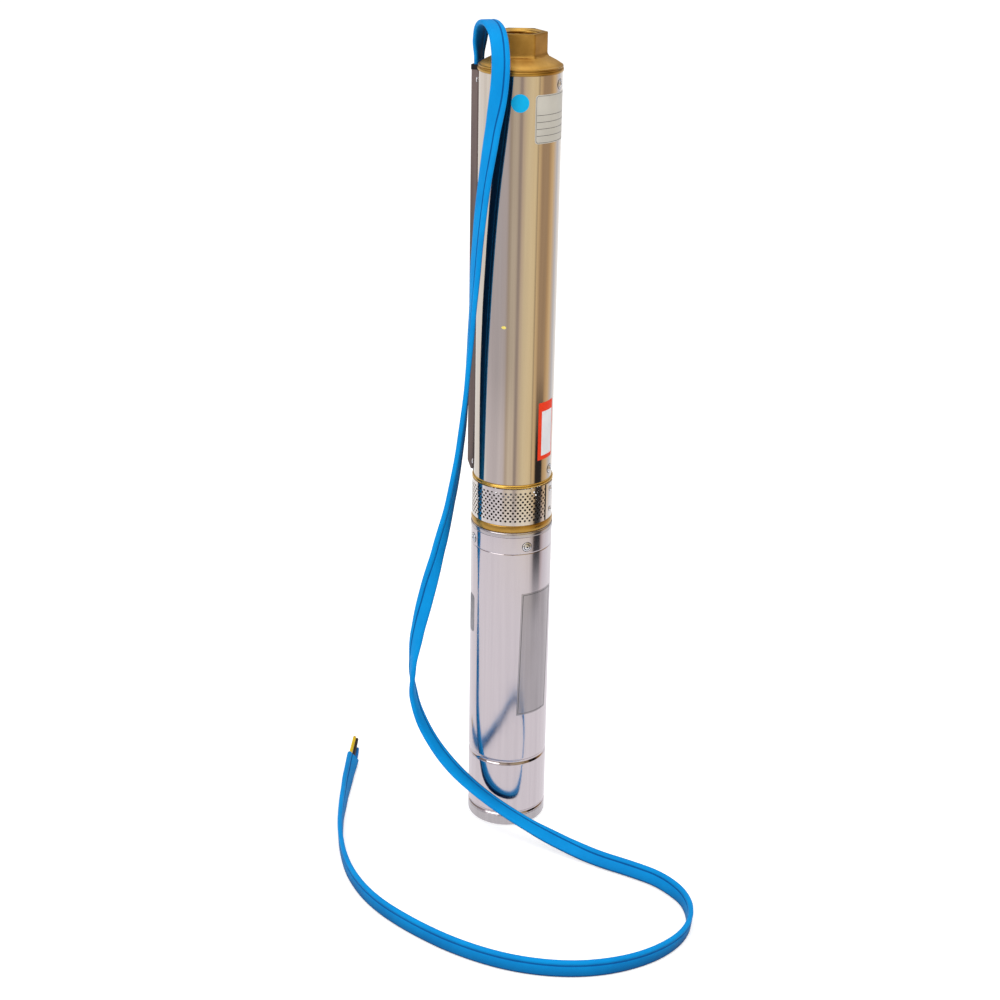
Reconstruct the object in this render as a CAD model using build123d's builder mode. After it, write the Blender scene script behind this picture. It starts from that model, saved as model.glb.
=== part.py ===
from build123d import *
import os
from math import cos, pi, radians, sin, tan

# A slender borehole pump, standing upright on its bottom cap.
# Millimetres, +Z up, origin at the centre of the bottom cap's face.
# Azimuths are degrees from +X towards +Y. The pump's front faces -Y.

# Driving dimensions of the pump end
shell_diameter = 75.0
shell_wall = 0.8
pump_shell_length = 381.0
spigot_length = 19.0
spigot_wall = 2.4

# Discharge head: internal pipe thread of one inch, with a hexagon for the wrench
outlet_bore = 30.29
outlet_thread_length = 18.0
hex_across_flats = 41.0
hex_height = 19.5
cone_height = 8.5
cone_foot_radius = 35.8
flange_diameter = 76.4
flange_height = 5.5
valve_chamber_radius = 19.0

# Check valve
valve_port_radius = 11.0
valve_seat_height = 6.0
valve_seal_thickness = 2.0
poppet_radius = 14.0
poppet_thickness = 3.0
stem_radius = 3.0
valve_lift = 6.0
guide_height = 5.0
guide_ring_wall = 2.0
guide_hub_radius = 6.0
guide_arm_width = 3.0
guide_arm_count = 3
spring_radius = 6.5
spring_wire = 0.9
spring_solid_height = 5.5

# Stages
stage_count = 6
bowl_wall = 1.6
bowl_floor = 3.0
eye_radius = 13.0
guide_vane_count = 4
guide_vane_height = 17.0
guide_vane_thickness = 2.0
guide_vane_swirl = 38.0
impeller_radius = 30.0
impeller_disc = 2.0
impeller_vane_height = 11.0
impeller_vane_count = 6
impeller_vane_thickness = 2.2
impeller_vane_sweep = 40.0
impeller_hub_radius = 9.0
impeller_hub_length = 20.0
impeller_floor_gap = 1.0
shaft_across_flats = 10.0
top_bearing_length = 16.0
spider_height = 31.0
top_bearing_radius = 10.0
top_spider_arm_width = 4.0
top_spider_arm_count = 3

# Suction bracket and strainer
lower_ring_diameter = 78.6
lower_ring_height = 7.5
lower_ring_bore = 60.0
upper_ring_diameter = 77.8
upper_ring_height = 4.0
strainer_diameter = 77.4
strainer_wall = 0.6
strainer_height = 37.0
strainer_tab_azimuth = -22.5
rib_count = 3
rib_width = 9.0
rib_depth = 7.0

# Motor
motor_diameter = 78.4
motor_wall = 1.5
motor_shell_length = 307.5
rolled_groove_depth = 0.9
upper_groove_level = 73.6
upper_groove_half_width = 3.0
lower_groove_half_width = 2.4
bell_lip_height = 5.0
bell_lip_diameter = 79.4
bell_spigot_length = 34.0
bell_wall = 5.0
bell_web = 6.0
cap_height = 11.5
cap_edge = 3.0
cap_spigot_length = 17.0
cap_wall = 5.0
cap_floor = 4.0
stator_length = 140.0
stator_bore = 38.8
winding_overhang = 14.0
winding_wall = 12.0
rotor_air_gap = 0.4
rotor_end_ring = 6.0
motor_shaft_radius = 9.0
journal_radius = 7.5
shaft_end_radius = 6.0
bearing_wall = 4.0
housing_height = 26.0
housing_rim = 5.0
thrust_runner_radius = 19.0
thrust_runner_height = 5.0
thrust_pad_count = 6
thrust_pad_height = 3.0
thrust_pad_width = 12.0
thrust_plate_height = 4.0
diaphragm_wall = 1.5
seal_seat_radius = 14.0
seal_seat_height = 5.0
seal_ring_radius = 12.0
seal_ring_height = 7.0
coupling_radius = 11.0
coupling_length = 34.0
coupling_clearance_above_bell = 8.0

# Screws, with the rows of them round the shells
screw_radius = 1.7
screw_head_radius = 2.6
screw_head_height = 1.2
screw_depth = 5.0
screw_head_sides = 12
shell_screw_azimuths = (-22.5, 67.5)
motor_screw_azimuths = (-67.5, 22.5, 112.5, -157.5)
shell_screw_inset = 9.5
motor_screw_inset = 9.8
strainer_screw_heights = (9.5, 30.5)

# Cable and its guard
guard_azimuth = 157.5
cable_width = 16.0
cable_thickness = 4.8
cable_tube_radius = 5.0
cable_tube_sides = 6
cable_lead_radius = 23.5
cable_pocket_radius = 33.5
cable_first_bend = 6.0
cable_second_bend = 28.0
cable_third_bend = -6.5
cable_top_bend = 9.5
guard_sheet = 0.6
guard_room = 0.1
guard_side_room = 1.1
guard_foot = 5.0
guard_top_inset = 1.7
guard_screw_angle = 19.0
clip_height = 4.5
clip_wall = 1.3
core_radius = 1.4
core_length = 38.0
core_spread = 3.3
gland_height = 6.0
gland_wall = 2.0

# Hidden bores and discs are drawn with this many flats, which keeps the model light
plain_sides = 24

# Clearances
fit_gap = 0.1
running_gap = 0.05
side_gap = 0.3

# Levels, built up from the floor
shell_radius = shell_diameter / 2
shell_bore = shell_radius - shell_wall
motor_radius = motor_diameter / 2
motor_bore = motor_radius - motor_wall
motor_shell_bottom = cap_height
lower_groove_level = motor_shell_bottom + lower_groove_half_width + 0.7
motor_shell_top = motor_shell_bottom + motor_shell_length
bell_top = motor_shell_top + bell_lip_height
strainer_bottom = bell_top + lower_ring_height
strainer_top = strainer_bottom + strainer_height
pump_shell_bottom = strainer_top + upper_ring_height
pump_shell_top = pump_shell_bottom + pump_shell_length
stack_bottom = pump_shell_bottom + spigot_length
stack_top = pump_shell_top - spigot_length - spider_height
stage_pitch = (stack_top - stack_bottom) / stage_count
cone_bottom = pump_shell_top + flange_height
hex_bottom = cone_bottom + cone_height
head_top = hex_bottom + hex_height
head_spigot_bottom = pump_shell_top - spigot_length
insert_radius = shell_bore - fit_gap
stator_middle = (upper_groove_level + bell_top - bell_spigot_length) / 2 + 4.0
stator_bottom = stator_middle - stator_length / 2
stator_top = stator_middle + stator_length / 2
housing_bottom = upper_groove_level - housing_height / 2
cap_top = cap_height + cap_spigot_length
lower_ring_radius = lower_ring_diameter / 2
upper_ring_radius = upper_ring_diameter / 2
strainer_radius = strainer_diameter / 2
cable_centre = shell_radius + fit_gap + cable_thickness / 2
cable_exit_level = cone_bottom + 1.5
cable_run = [
    (cable_lead_radius, bell_top - bell_web),
    (cable_lead_radius, bell_top + cable_first_bend),
    (cable_pocket_radius, bell_top + cable_second_bend),
    (cable_pocket_radius, pump_shell_bottom + cable_third_bend),
    (cable_centre, pump_shell_bottom + cable_top_bend),
    (cable_centre, cable_exit_level),
]


def on_circle(radius, azimuth, level):
    """A point at this radius and azimuth, at this level."""
    return Vector(radius * cos(radians(azimuth)), radius * sin(radians(azimuth)), level)


def radial_plane(radius, azimuth, level):
    """A plane at this radius that faces outwards, with its own Y axis upwards."""
    outwards = on_circle(1, azimuth, 0)
    along = Vector(-outwards.Y, outwards.X, 0)
    return Plane(origin=on_circle(radius, azimuth, level), x_dir=along, z_dir=outwards)


def flats_round(radius, mode=Mode.ADD):
    """A hidden round outline drawn with flats outside this radius."""
    RegularPolygon(radius, plain_sides, major_radius=False, mode=mode)


def flats_within(radius, mode=Mode.ADD):
    """A hidden round outline drawn with flats inside this radius."""
    RegularPolygon(radius, plain_sides, mode=mode)


def plain_ring(outer, inner, bottom, top):
    """A hidden ring round the pump's axis, drawn with flats outside and inside."""
    with BuildPart() as piece:
        with BuildSketch(Plane.XY.offset(bottom)):
            flats_within(outer)
            flats_round(inner, Mode.SUBTRACT)
        extrude(amount=top - bottom)
    return piece


def plain_disc(radius, bottom, top):
    """A hidden disc on the pump's axis, drawn with flats."""
    with BuildPart() as piece:
        with BuildSketch(Plane.XY.offset(bottom)):
            flats_within(radius)
        extrude(amount=top - bottom)
    return piece


def bushed_ring(outer, inner, bottom, top):
    """A ring with a round bore for a shaft and an outside drawn with flats."""
    with BuildPart() as piece:
        with BuildSketch(Plane.XY.offset(bottom)):
            flats_within(outer)
            Circle(inner, mode=Mode.SUBTRACT)
        extrude(amount=top - bottom)
    return piece


def ring(outer, inner, bottom, top):
    """A round piece with a hidden bore drawn with flats."""
    with BuildPart() as piece:
        with BuildSketch(Plane.XY.offset(bottom)):
            Circle(outer)
            flats_round(inner, Mode.SUBTRACT)
        extrude(amount=top - bottom)
    return piece


def screw(seat_radius, azimuth, level):
    """A low-headed screw driven inwards, its head on a seat at this radius."""
    with BuildPart() as piece:
        with BuildSketch(radial_plane(seat_radius, azimuth, level)):
            RegularPolygon(screw_head_radius, screw_head_sides)
        extrude(amount=screw_head_height)
        with BuildSketch(radial_plane(seat_radius, azimuth, level)):
            RegularPolygon(screw_radius, 6)
        extrude(amount=-screw_depth)
    return piece.part


def screw_holes(radius, azimuths, level):
    """The holes for a row of screws, as tools to cut away."""
    tools = []
    for azimuth in azimuths:
        with BuildPart() as tool:
            with BuildSketch(radial_plane(radius, azimuth, level)):
                RegularPolygon(screw_radius + fit_gap, 6)
            extrude(amount=-(screw_depth + 1))
        tools.append(tool.part)
    return tools


def ribbon(centre_line, half_thickness):
    """The outline of a strip of even thickness that follows radius and height points."""
    sides = ([], [])
    for i, (radius, level) in enumerate(centre_line):
        before = centre_line[max(i - 1, 0)]
        after = centre_line[min(i + 1, len(centre_line) - 1)]
        run_in = Vector(radius - before[0], level - before[1], 0)
        run_out = Vector(after[0] - radius, after[1] - level, 0)
        run_in = run_in if run_in.length else run_out
        run_out = run_out if run_out.length else run_in
        along = (run_in.normalized() + run_out.normalized()).normalized()
        reach = half_thickness / along.dot(run_out.normalized())
        sides[0].append((radius + along.Y * reach, level - along.X * reach))
        sides[1].append((radius - along.Y * reach, level + along.X * reach))
    return sides[0] + sides[1][::-1]


def side_slab(outline, width):
    """A slab of this outline, in radius and height, standing across the cable's azimuth."""
    across = on_circle(1, guard_azimuth + 90, 0)
    side = Plane(origin=(0, 0, 0), x_dir=on_circle(1, guard_azimuth, 0), z_dir=(across.X, across.Y, 0))
    with BuildPart() as slab:
        with BuildSketch(side):
            with BuildLine():
                Polyline(*[(radius, -level) for radius, level in outline], close=True)
            make_face()
        extrude(amount=width / 2, both=True)
    return slab.part


pieces = {}


def keep(piece, label):
    """Give a finished piece its name and put it among the pieces."""
    part = piece.part if isinstance(piece, BuildPart) else piece
    part.label = label
    pieces[label] = part


cable_channel = side_slab(ribbon(cable_run, cable_thickness / 2 + fit_gap), cable_width + 2 * side_gap)
guard_screw_azimuths = (guard_azimuth - guard_screw_angle, guard_azimuth + guard_screw_angle)
all_shell_screw_azimuths = shell_screw_azimuths + guard_screw_azimuths
shell_screw_low = pump_shell_bottom + shell_screw_inset
shell_screw_high = pump_shell_top - shell_screw_inset
motor_screw_level = motor_shell_top - motor_screw_inset

# Discharge head: one turned and hexagon-topped brass casting
hex_corner_radius = hex_across_flats / 2 / cos(pi / 6)
flange_radius = flange_diameter / 2
seat_top = head_spigot_bottom + valve_seat_height
chamber_top = head_top - outlet_thread_length
with BuildPart() as discharge_head:
    with BuildSketch(Plane.XZ) as head_profile:
        with BuildLine():
            Polyline(
                (0, head_spigot_bottom),
                (insert_radius, head_spigot_bottom),
                (insert_radius, pump_shell_top),
                (flange_radius, pump_shell_top),
                (flange_radius, cone_bottom),
                (cone_foot_radius, cone_bottom),
                (hex_corner_radius + 1.0, hex_bottom),
                (0, hex_bottom),
                close=True,
            )
        make_face()
    revolve(axis=Axis.Z)
    with BuildSketch(Plane.XY.offset(hex_bottom)):
        RegularPolygon(hex_corner_radius, 6)
    extrude(amount=hex_height)
    with BuildSketch(Plane.XY.offset(head_spigot_bottom)):
        Circle(valve_port_radius)
    extrude(amount=valve_seat_height, mode=Mode.SUBTRACT)
    with BuildSketch(Plane.XY.offset(seat_top)):
        flats_round(valve_chamber_radius)
    extrude(amount=chamber_top - seat_top, mode=Mode.SUBTRACT)
    with BuildSketch(Plane.XY.offset(chamber_top)):
        Circle(outlet_bore / 2)
    extrude(amount=head_top - chamber_top, mode=Mode.SUBTRACT)
    for tool in screw_holes(shell_radius, all_shell_screw_azimuths, shell_screw_high):
        add(tool, mode=Mode.SUBTRACT)
    add(cable_channel, mode=Mode.SUBTRACT)
keep(discharge_head, "discharge_head")

# Check valve: a poppet on a stem with a rubber seal, over the seat turned in the head
keep(plain_ring(poppet_radius, stem_radius + running_gap, seat_top, seat_top + valve_seal_thickness), "valve_seal")
poppet_bottom = seat_top + valve_seal_thickness
poppet_top = poppet_bottom + poppet_thickness
guide_bottom = poppet_top + spring_solid_height + valve_lift
stem_top = guide_bottom + guide_height + 1
with BuildPart() as valve_poppet:
    with BuildSketch(Plane.XY.offset(poppet_bottom)):
        flats_within(poppet_radius)
    extrude(amount=poppet_thickness)
    with BuildSketch(Plane.XY.offset(seat_top)):
        flats_within(stem_radius)
    extrude(amount=stem_top - seat_top)
keep(valve_poppet, "valve_poppet")
keep(
    plain_ring(spring_radius + spring_wire, spring_radius - spring_wire, poppet_top, guide_bottom),
    "valve_spring",
)
with BuildPart() as valve_guide:
    with BuildSketch(Plane.XY.offset(guide_bottom)):
        flats_round(valve_chamber_radius - fit_gap)
        flats_round(valve_chamber_radius - fit_gap - guide_ring_wall, Mode.SUBTRACT)
        with PolarLocations(0, guide_arm_count):
            with Locations((valve_chamber_radius / 2, 0)):
                Rectangle(valve_chamber_radius - guide_ring_wall, guide_arm_width)
        flats_within(guide_hub_radius + spring_wire + 1)
        flats_round(stem_radius + running_gap, Mode.SUBTRACT)
    extrude(amount=guide_height)
keep(valve_guide, "valve_guide")

# Pump shell: a plain polished tube, drilled for its screws
with BuildPart() as pump_shell:
    with BuildSketch(Plane.XY.offset(pump_shell_bottom)):
        Circle(shell_radius)
        Circle(shell_bore, mode=Mode.SUBTRACT)
    extrude(amount=pump_shell_length)
    for level in (shell_screw_low, shell_screw_high):
        for tool in screw_holes(shell_radius + 1, all_shell_screw_azimuths, level):
            add(tool, mode=Mode.SUBTRACT)
    add(cable_channel, mode=Mode.SUBTRACT)
keep(pump_shell, "pump_shell")

# Bowls: one stack of chambers with swirled guide vanes on each floor
chamber_radius = insert_radius - bowl_wall
with BuildPart() as diffuser_stack:
    with BuildSketch(Plane.XY.offset(stack_bottom)):
        Circle(insert_radius)
        flats_within(chamber_radius, Mode.SUBTRACT)
    extrude(amount=stack_top - stack_bottom)
    for stage in range(stage_count):
        floor_top = stack_bottom + (stage + 1) * stage_pitch
        with BuildSketch(Plane.XY.offset(floor_top - bowl_floor)):
            flats_within(chamber_radius + bowl_wall / 2)
            flats_round(eye_radius, Mode.SUBTRACT)
        extrude(amount=bowl_floor)
        with BuildSketch(Plane.XY.offset(floor_top - bowl_floor)):
            with PolarLocations(0, guide_vane_count):
                with Locations(Location((chamber_radius - 9, 0), guide_vane_swirl)):
                    Rectangle(23, guide_vane_thickness)
        extrude(amount=-guide_vane_height)
keep(diffuser_stack, "diffuser_stack")


def impeller(floor_level):
    """A semi-open impeller above a chamber floor, with curved vanes under its disc."""
    vane_bottom = floor_level + impeller_floor_gap
    disc_bottom = vane_bottom + impeller_vane_height
    inner = impeller_hub_radius + 3
    outer = impeller_radius - 0.5
    half = impeller_vane_thickness / 2
    middle_radius = (inner + outer) / 2
    middle = on_circle(middle_radius, impeller_vane_sweep * 0.3, 0)
    with BuildPart() as wheel:
        with BuildSketch(Plane.XY.offset(disc_bottom)):
            flats_within(impeller_radius)
        extrude(amount=impeller_disc)
        with BuildSketch(Plane.XY.offset(vane_bottom)):
            flats_within(impeller_hub_radius)
        extrude(amount=impeller_hub_length)
        with BuildSketch(Plane.XY.offset(vane_bottom)):
            with PolarLocations(0, impeller_vane_count):
                with BuildLine():
                    Polyline(
                        (inner, -half),
                        (middle.X + half, middle.Y - half),
                        on_circle(outer, impeller_vane_sweep - 4, 0),
                        on_circle(outer, impeller_vane_sweep, 0),
                        (middle.X - half, middle.Y + half),
                        (inner, half),
                        close=True,
                    )
                make_face()
        extrude(amount=impeller_vane_height)
        with BuildSketch(Plane.XY.offset(vane_bottom)):
            RegularPolygon(shaft_across_flats / 2 + running_gap, 6, major_radius=False)
        extrude(amount=impeller_hub_length, mode=Mode.SUBTRACT)
    return wheel.part


floor_levels = [stack_bottom + stage * stage_pitch for stage in range(stage_count)]
keep(Compound(children=[impeller(level) for level in floor_levels]), "impellers")

# Pump shaft of hexagon bar, its top bearing and the spider that holds the bearing
coupling_bottom = bell_top + coupling_clearance_above_bell
shaft_middle = coupling_bottom + coupling_length / 2
pump_shaft_top = stack_top + top_bearing_length
with BuildPart() as pump_shaft:
    with BuildSketch(Plane.XY.offset(shaft_middle + side_gap)):
        RegularPolygon(shaft_across_flats / 2, 6, major_radius=False)
    extrude(amount=pump_shaft_top - shaft_middle - side_gap)
keep(pump_shaft, "pump_shaft")
journal_sleeve_radius = shaft_across_flats / 2 / cos(pi / 6) + 1.2
with BuildPart() as shaft_sleeve:
    with BuildSketch(Plane.XY.offset(stack_top)):
        Circle(journal_sleeve_radius)
        RegularPolygon(shaft_across_flats / 2 + running_gap, 6, major_radius=False, mode=Mode.SUBTRACT)
    extrude(amount=top_bearing_length)
keep(shaft_sleeve, "shaft_sleeve")
keep(
    bushed_ring(top_bearing_radius, journal_sleeve_radius + running_gap, stack_top, pump_shaft_top),
    "top_bearing",
)
with BuildPart() as bearing_spider:
    with BuildSketch(Plane.XY.offset(stack_top)):
        Circle(insert_radius)
        flats_round(insert_radius - spigot_wall, Mode.SUBTRACT)
        with PolarLocations(0, top_spider_arm_count):
            with Locations((insert_radius / 2 + 1, 0)):
                Rectangle(insert_radius - 3, top_spider_arm_width)
        flats_within(top_bearing_radius + 3)
        flats_round(top_bearing_radius + fit_gap, Mode.SUBTRACT)
    extrude(amount=head_spigot_bottom - stack_top)
keep(bearing_spider, "bearing_spider")

# Coupling between the pump shaft and the motor shaft
motor_shaft_top = shaft_middle - side_gap
with BuildPart() as shaft_coupling:
    with BuildSketch(Plane.XY.offset(coupling_bottom)):
        flats_within(coupling_radius)
    extrude(amount=coupling_length)
    with BuildSketch(Plane.XY.offset(coupling_bottom)):
        Circle(shaft_end_radius + running_gap)
    extrude(amount=coupling_length / 2, mode=Mode.SUBTRACT)
    with BuildSketch(Plane.XY.offset(shaft_middle)):
        RegularPolygon(shaft_across_flats / 2 + running_gap, 6, major_radius=False)
    extrude(amount=coupling_length / 2, mode=Mode.SUBTRACT)
keep(shaft_coupling, "shaft_coupling")

# Suction bracket: two brass rings on three ribs, with a spigot that carries the pump shell
sheet_bore = strainer_radius - strainer_wall
rib_outer = (sheet_bore**2 - (rib_width / 2) ** 2) ** 0.5 - fit_gap
bracket_bore = rib_outer - rib_depth
strainer_screw_levels = [strainer_bottom + height for height in strainer_screw_heights]
with BuildPart() as suction_bracket:
    with BuildSketch(Plane.XY.offset(bell_top)):
        Circle(lower_ring_radius)
        flats_round(lower_ring_bore / 2, Mode.SUBTRACT)
    extrude(amount=lower_ring_height)
    with BuildSketch(Plane.XY.offset(strainer_bottom)):
        with PolarLocations(0, rib_count, start_angle=strainer_tab_azimuth):
            with Locations((rib_outer - rib_depth / 2, 0)):
                Rectangle(rib_depth, rib_width)
    extrude(amount=strainer_height)
    with BuildSketch(Plane.XY.offset(strainer_top)):
        Circle(upper_ring_radius)
    extrude(amount=upper_ring_height)
    with BuildSketch(Plane.XY.offset(pump_shell_bottom)):
        Circle(insert_radius)
    extrude(amount=spigot_length)
    with BuildSketch(Plane.XY.offset(strainer_top)):
        flats_within(bracket_bore - 2)
    extrude(amount=upper_ring_height + spigot_length - bowl_floor, mode=Mode.SUBTRACT)
    with BuildSketch(Plane.XY.offset(stack_bottom - bowl_floor)):
        flats_round(eye_radius)
    extrude(amount=bowl_floor, mode=Mode.SUBTRACT)
    for tool in screw_holes(shell_radius, all_shell_screw_azimuths, shell_screw_low):
        add(tool, mode=Mode.SUBTRACT)
    for level in strainer_screw_levels:
        for tool in screw_holes(strainer_radius, (strainer_tab_azimuth,), level):
            add(tool, mode=Mode.SUBTRACT)
    add(cable_channel, mode=Mode.SUBTRACT)
keep(suction_bracket, "suction_bracket")

# Strainer: a rolled sheet, closed by a tab that two screws hold
with BuildPart() as strainer:
    with BuildSketch(Plane.XY.offset(strainer_bottom)):
        Circle(strainer_radius)
        Circle(sheet_bore, mode=Mode.SUBTRACT)
    extrude(amount=strainer_height)
    for level in strainer_screw_levels:
        for tool in screw_holes(strainer_radius + 1, (strainer_tab_azimuth,), level):
            add(tool, mode=Mode.SUBTRACT)
keep(strainer, "strainer")

# Motor shell: a tube with two grooves rolled over the parts inside
with BuildPart() as motor_shell:
    with BuildSketch(Plane.XZ):
        with BuildLine():
            Polyline(
                (motor_bore, motor_shell_bottom),
                (motor_radius, motor_shell_bottom),
                (motor_radius, lower_groove_level - lower_groove_half_width),
                (motor_radius - rolled_groove_depth, lower_groove_level),
                (motor_radius, lower_groove_level + lower_groove_half_width),
                (motor_radius, upper_groove_level - upper_groove_half_width),
                (motor_radius - rolled_groove_depth, upper_groove_level),
                (motor_radius, upper_groove_level + upper_groove_half_width),
                (motor_radius, motor_shell_top),
                (motor_bore, motor_shell_top),
                close=True,
            )
        make_face()
    revolve(axis=Axis.Z)
    for tool in screw_holes(motor_radius + 1, motor_screw_azimuths, motor_screw_level):
        add(tool, mode=Mode.SUBTRACT)
keep(motor_shell, "motor_shell")

# Bottom cap, with its edge broken
motor_insert_radius = motor_bore - fit_gap
with BuildPart() as bottom_cap:
    with BuildSketch(Plane.XZ):
        with BuildLine():
            Polyline(
                (0, 0),
                (motor_radius - cap_edge, 0),
                (motor_radius, cap_edge),
                (motor_radius, cap_height),
                (motor_insert_radius, cap_height),
                (motor_insert_radius, cap_top),
                (0, cap_top),
                close=True,
            )
        make_face()
    revolve(axis=Axis.Z)
    with BuildSketch(Plane.XY.offset(cap_floor)):
        flats_within(motor_insert_radius - cap_wall)
    extrude(amount=cap_top - cap_floor, mode=Mode.SUBTRACT)
keep(bottom_cap, "bottom_cap")

# Diaphragm: a rubber disc clamped on the cap's rim, which lets the filling expand
keep(plain_disc(motor_insert_radius, cap_top, cap_top + diaphragm_wall), "diaphragm")

# Lower bearing housing, held by the upper rolled groove, with the thrust bearing under it
housing_top = housing_bottom + housing_height
lower_sleeve_radius = journal_radius + bearing_wall
with BuildPart() as lower_bearing_housing:
    with BuildSketch(Plane.XY.offset(housing_bottom)):
        Circle(motor_insert_radius)
    extrude(amount=housing_height)
    with BuildSketch(Plane.XY.offset(housing_bottom)):
        flats_within(motor_insert_radius - housing_rim)
        flats_round(lower_sleeve_radius + bearing_wall, Mode.SUBTRACT)
    extrude(amount=housing_height - bell_web, mode=Mode.SUBTRACT)
    with BuildSketch(Plane.XY.offset(housing_bottom)):
        flats_round(lower_sleeve_radius)
    extrude(amount=housing_height, mode=Mode.SUBTRACT)
keep(lower_bearing_housing, "lower_bearing_housing")

# Thrust bearing: a runner on the shaft's lower end over tilting pads on a plate
plate_bottom = cap_top + diaphragm_wall
pad_bottom = plate_bottom + thrust_plate_height
runner_bottom = pad_bottom + thrust_pad_height + running_gap
runner_top = runner_bottom + thrust_runner_height
with BuildPart() as thrust_plate:
    with BuildSketch(Plane.XY.offset(plate_bottom)):
        flats_within(motor_insert_radius)
    extrude(amount=thrust_plate_height)
    with BuildSketch(Plane.XY.offset(pad_bottom)):
        with PolarLocations(thrust_runner_radius * 0.68, thrust_pad_count):
            Rectangle(thrust_runner_radius * 0.5, thrust_pad_width)
    extrude(amount=thrust_pad_height)
keep(thrust_plate, "thrust_plate")
journal_seat = journal_radius + fit_gap / 2
keep(bushed_ring(thrust_runner_radius, journal_seat, runner_bottom, runner_top), "thrust_runner")

# Stator and its end windings
keep(ring(motor_insert_radius, stator_bore / 2, stator_bottom, stator_top), "stator_core")
winding_inner = stator_bore / 2 + 2
windings = [
    plain_ring(winding_inner + winding_wall, winding_inner, bottom, bottom + winding_overhang).part
    for bottom in (stator_bottom - winding_overhang, stator_top)
]
keep(Compound(children=windings), "stator_windings")

# Rotor on its shaft
rotor_radius = stator_bore / 2 - rotor_air_gap
rotor_bottom = stator_bottom - rotor_end_ring
rotor_top = stator_top + rotor_end_ring
keep(ring(rotor_radius, motor_shaft_radius + fit_gap / 2, rotor_bottom, rotor_top), "rotor_core")
bell_bottom = bell_top - bell_spigot_length - bell_lip_height
shoulder_low = housing_top + 1
shoulder_high = bell_bottom - 1
seal_pocket_bottom = bell_top - seal_seat_height - seal_ring_height - 2
with BuildPart() as motor_shaft:
    with BuildSketch(Plane.XZ):
        with BuildLine():
            Polyline(
                (0, runner_bottom),
                (journal_radius, runner_bottom),
                (journal_radius, shoulder_low),
                (motor_shaft_radius, shoulder_low),
                (motor_shaft_radius, shoulder_high),
                (journal_radius, shoulder_high),
                (journal_radius, seal_pocket_bottom),
                (shaft_end_radius, seal_pocket_bottom),
                (shaft_end_radius, motor_shaft_top),
                (0, motor_shaft_top),
                close=True,
            )
        make_face()
    revolve(axis=Axis.Z)
keep(motor_shaft, "motor_shaft")

# Upper end bell: a lip on the shell, a spigot inside it, a bearing boss and a seal pocket
upper_sleeve_radius = journal_radius + bearing_wall
boss_radius = upper_sleeve_radius + bearing_wall
with BuildPart() as upper_end_bell:
    with BuildSketch(Plane.XY.offset(bell_bottom)):
        Circle(motor_insert_radius)
    extrude(amount=motor_shell_top - bell_bottom)
    with BuildSketch(Plane.XY.offset(motor_shell_top)):
        Circle(bell_lip_diameter / 2)
    extrude(amount=bell_lip_height)
    with BuildSketch(Plane.XY.offset(bell_bottom)):
        flats_within(motor_insert_radius - bell_wall)
        flats_round(boss_radius, Mode.SUBTRACT)
    extrude(amount=bell_top - bell_web - bell_bottom, mode=Mode.SUBTRACT)
    with BuildSketch(Plane.XY.offset(bell_bottom)):
        flats_round(upper_sleeve_radius)
    extrude(amount=seal_pocket_bottom - bell_bottom, mode=Mode.SUBTRACT)
    with BuildSketch(Plane.XY.offset(seal_pocket_bottom)):
        flats_round(seal_seat_radius)
    extrude(amount=bell_top - seal_pocket_bottom, mode=Mode.SUBTRACT)
    for tool in screw_holes(motor_radius, motor_screw_azimuths, motor_screw_level):
        add(tool, mode=Mode.SUBTRACT)
    add(cable_channel, mode=Mode.SUBTRACT)
keep(upper_end_bell, "upper_end_bell")
sleeves = [
    bushed_ring(upper_sleeve_radius, journal_radius + running_gap, bottom, top).part
    for bottom, top in ((housing_bottom, housing_top), (bell_bottom, seal_pocket_bottom))
]
keep(Compound(children=sleeves), "bearing_sleeves")

# Mechanical seal
seal_face = seal_pocket_bottom + seal_seat_height
keep(plain_ring(seal_seat_radius, shaft_end_radius + 1, seal_pocket_bottom, seal_face), "seal_seat")
seal_bore = shaft_end_radius + fit_gap / 2
seal_ring_top = seal_face + seal_ring_height
keep(bushed_ring(seal_ring_radius, seal_bore, seal_face + running_gap, seal_ring_top), "seal_ring")

# Screws: those through the pump shell at both ends, the motor's, and the strainer tab's
guard_seat = shell_radius + guard_room + guard_sheet
shell_screws = []
for level in (shell_screw_low, shell_screw_high):
    shell_screws += [screw(shell_radius, azimuth, level) for azimuth in shell_screw_azimuths]
    shell_screws += [screw(guard_seat, azimuth, level) for azimuth in guard_screw_azimuths]
keep(Compound(children=shell_screws), "shell_screws")
motor_screws = [screw(motor_radius, azimuth, motor_screw_level) for azimuth in motor_screw_azimuths]
keep(Compound(children=motor_screws), "motor_screws")
strainer_screws = [screw(strainer_radius, strainer_tab_azimuth, level) for level in strainer_screw_levels]
keep(Compound(children=strainer_screws), "strainer_screws")

# Cable guard: a sheet channel with a sloping foot, screwed down through its two side flanges
cable_face = cable_centre + cable_thickness / 2
guard_crown = cable_face + guard_room
guard_half_width = cable_width / 2 + guard_side_room
guard_top = pump_shell_top - guard_top_inset
nose_top = pump_shell_bottom + cable_top_bend - 1.0
slope = (cable_centre - cable_pocket_radius) / (cable_top_bend - cable_third_bend)


def guard_side(crown):
    """The channel's outline seen from the side, with this height of crown."""
    nose = crown - slope * (nose_top - pump_shell_bottom - fit_gap)
    return [
        (shell_radius - 2, pump_shell_bottom + fit_gap),
        (nose, pump_shell_bottom + fit_gap),
        (crown, nose_top),
        (crown, guard_top),
        (shell_radius - 2, guard_top),
    ]


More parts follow.
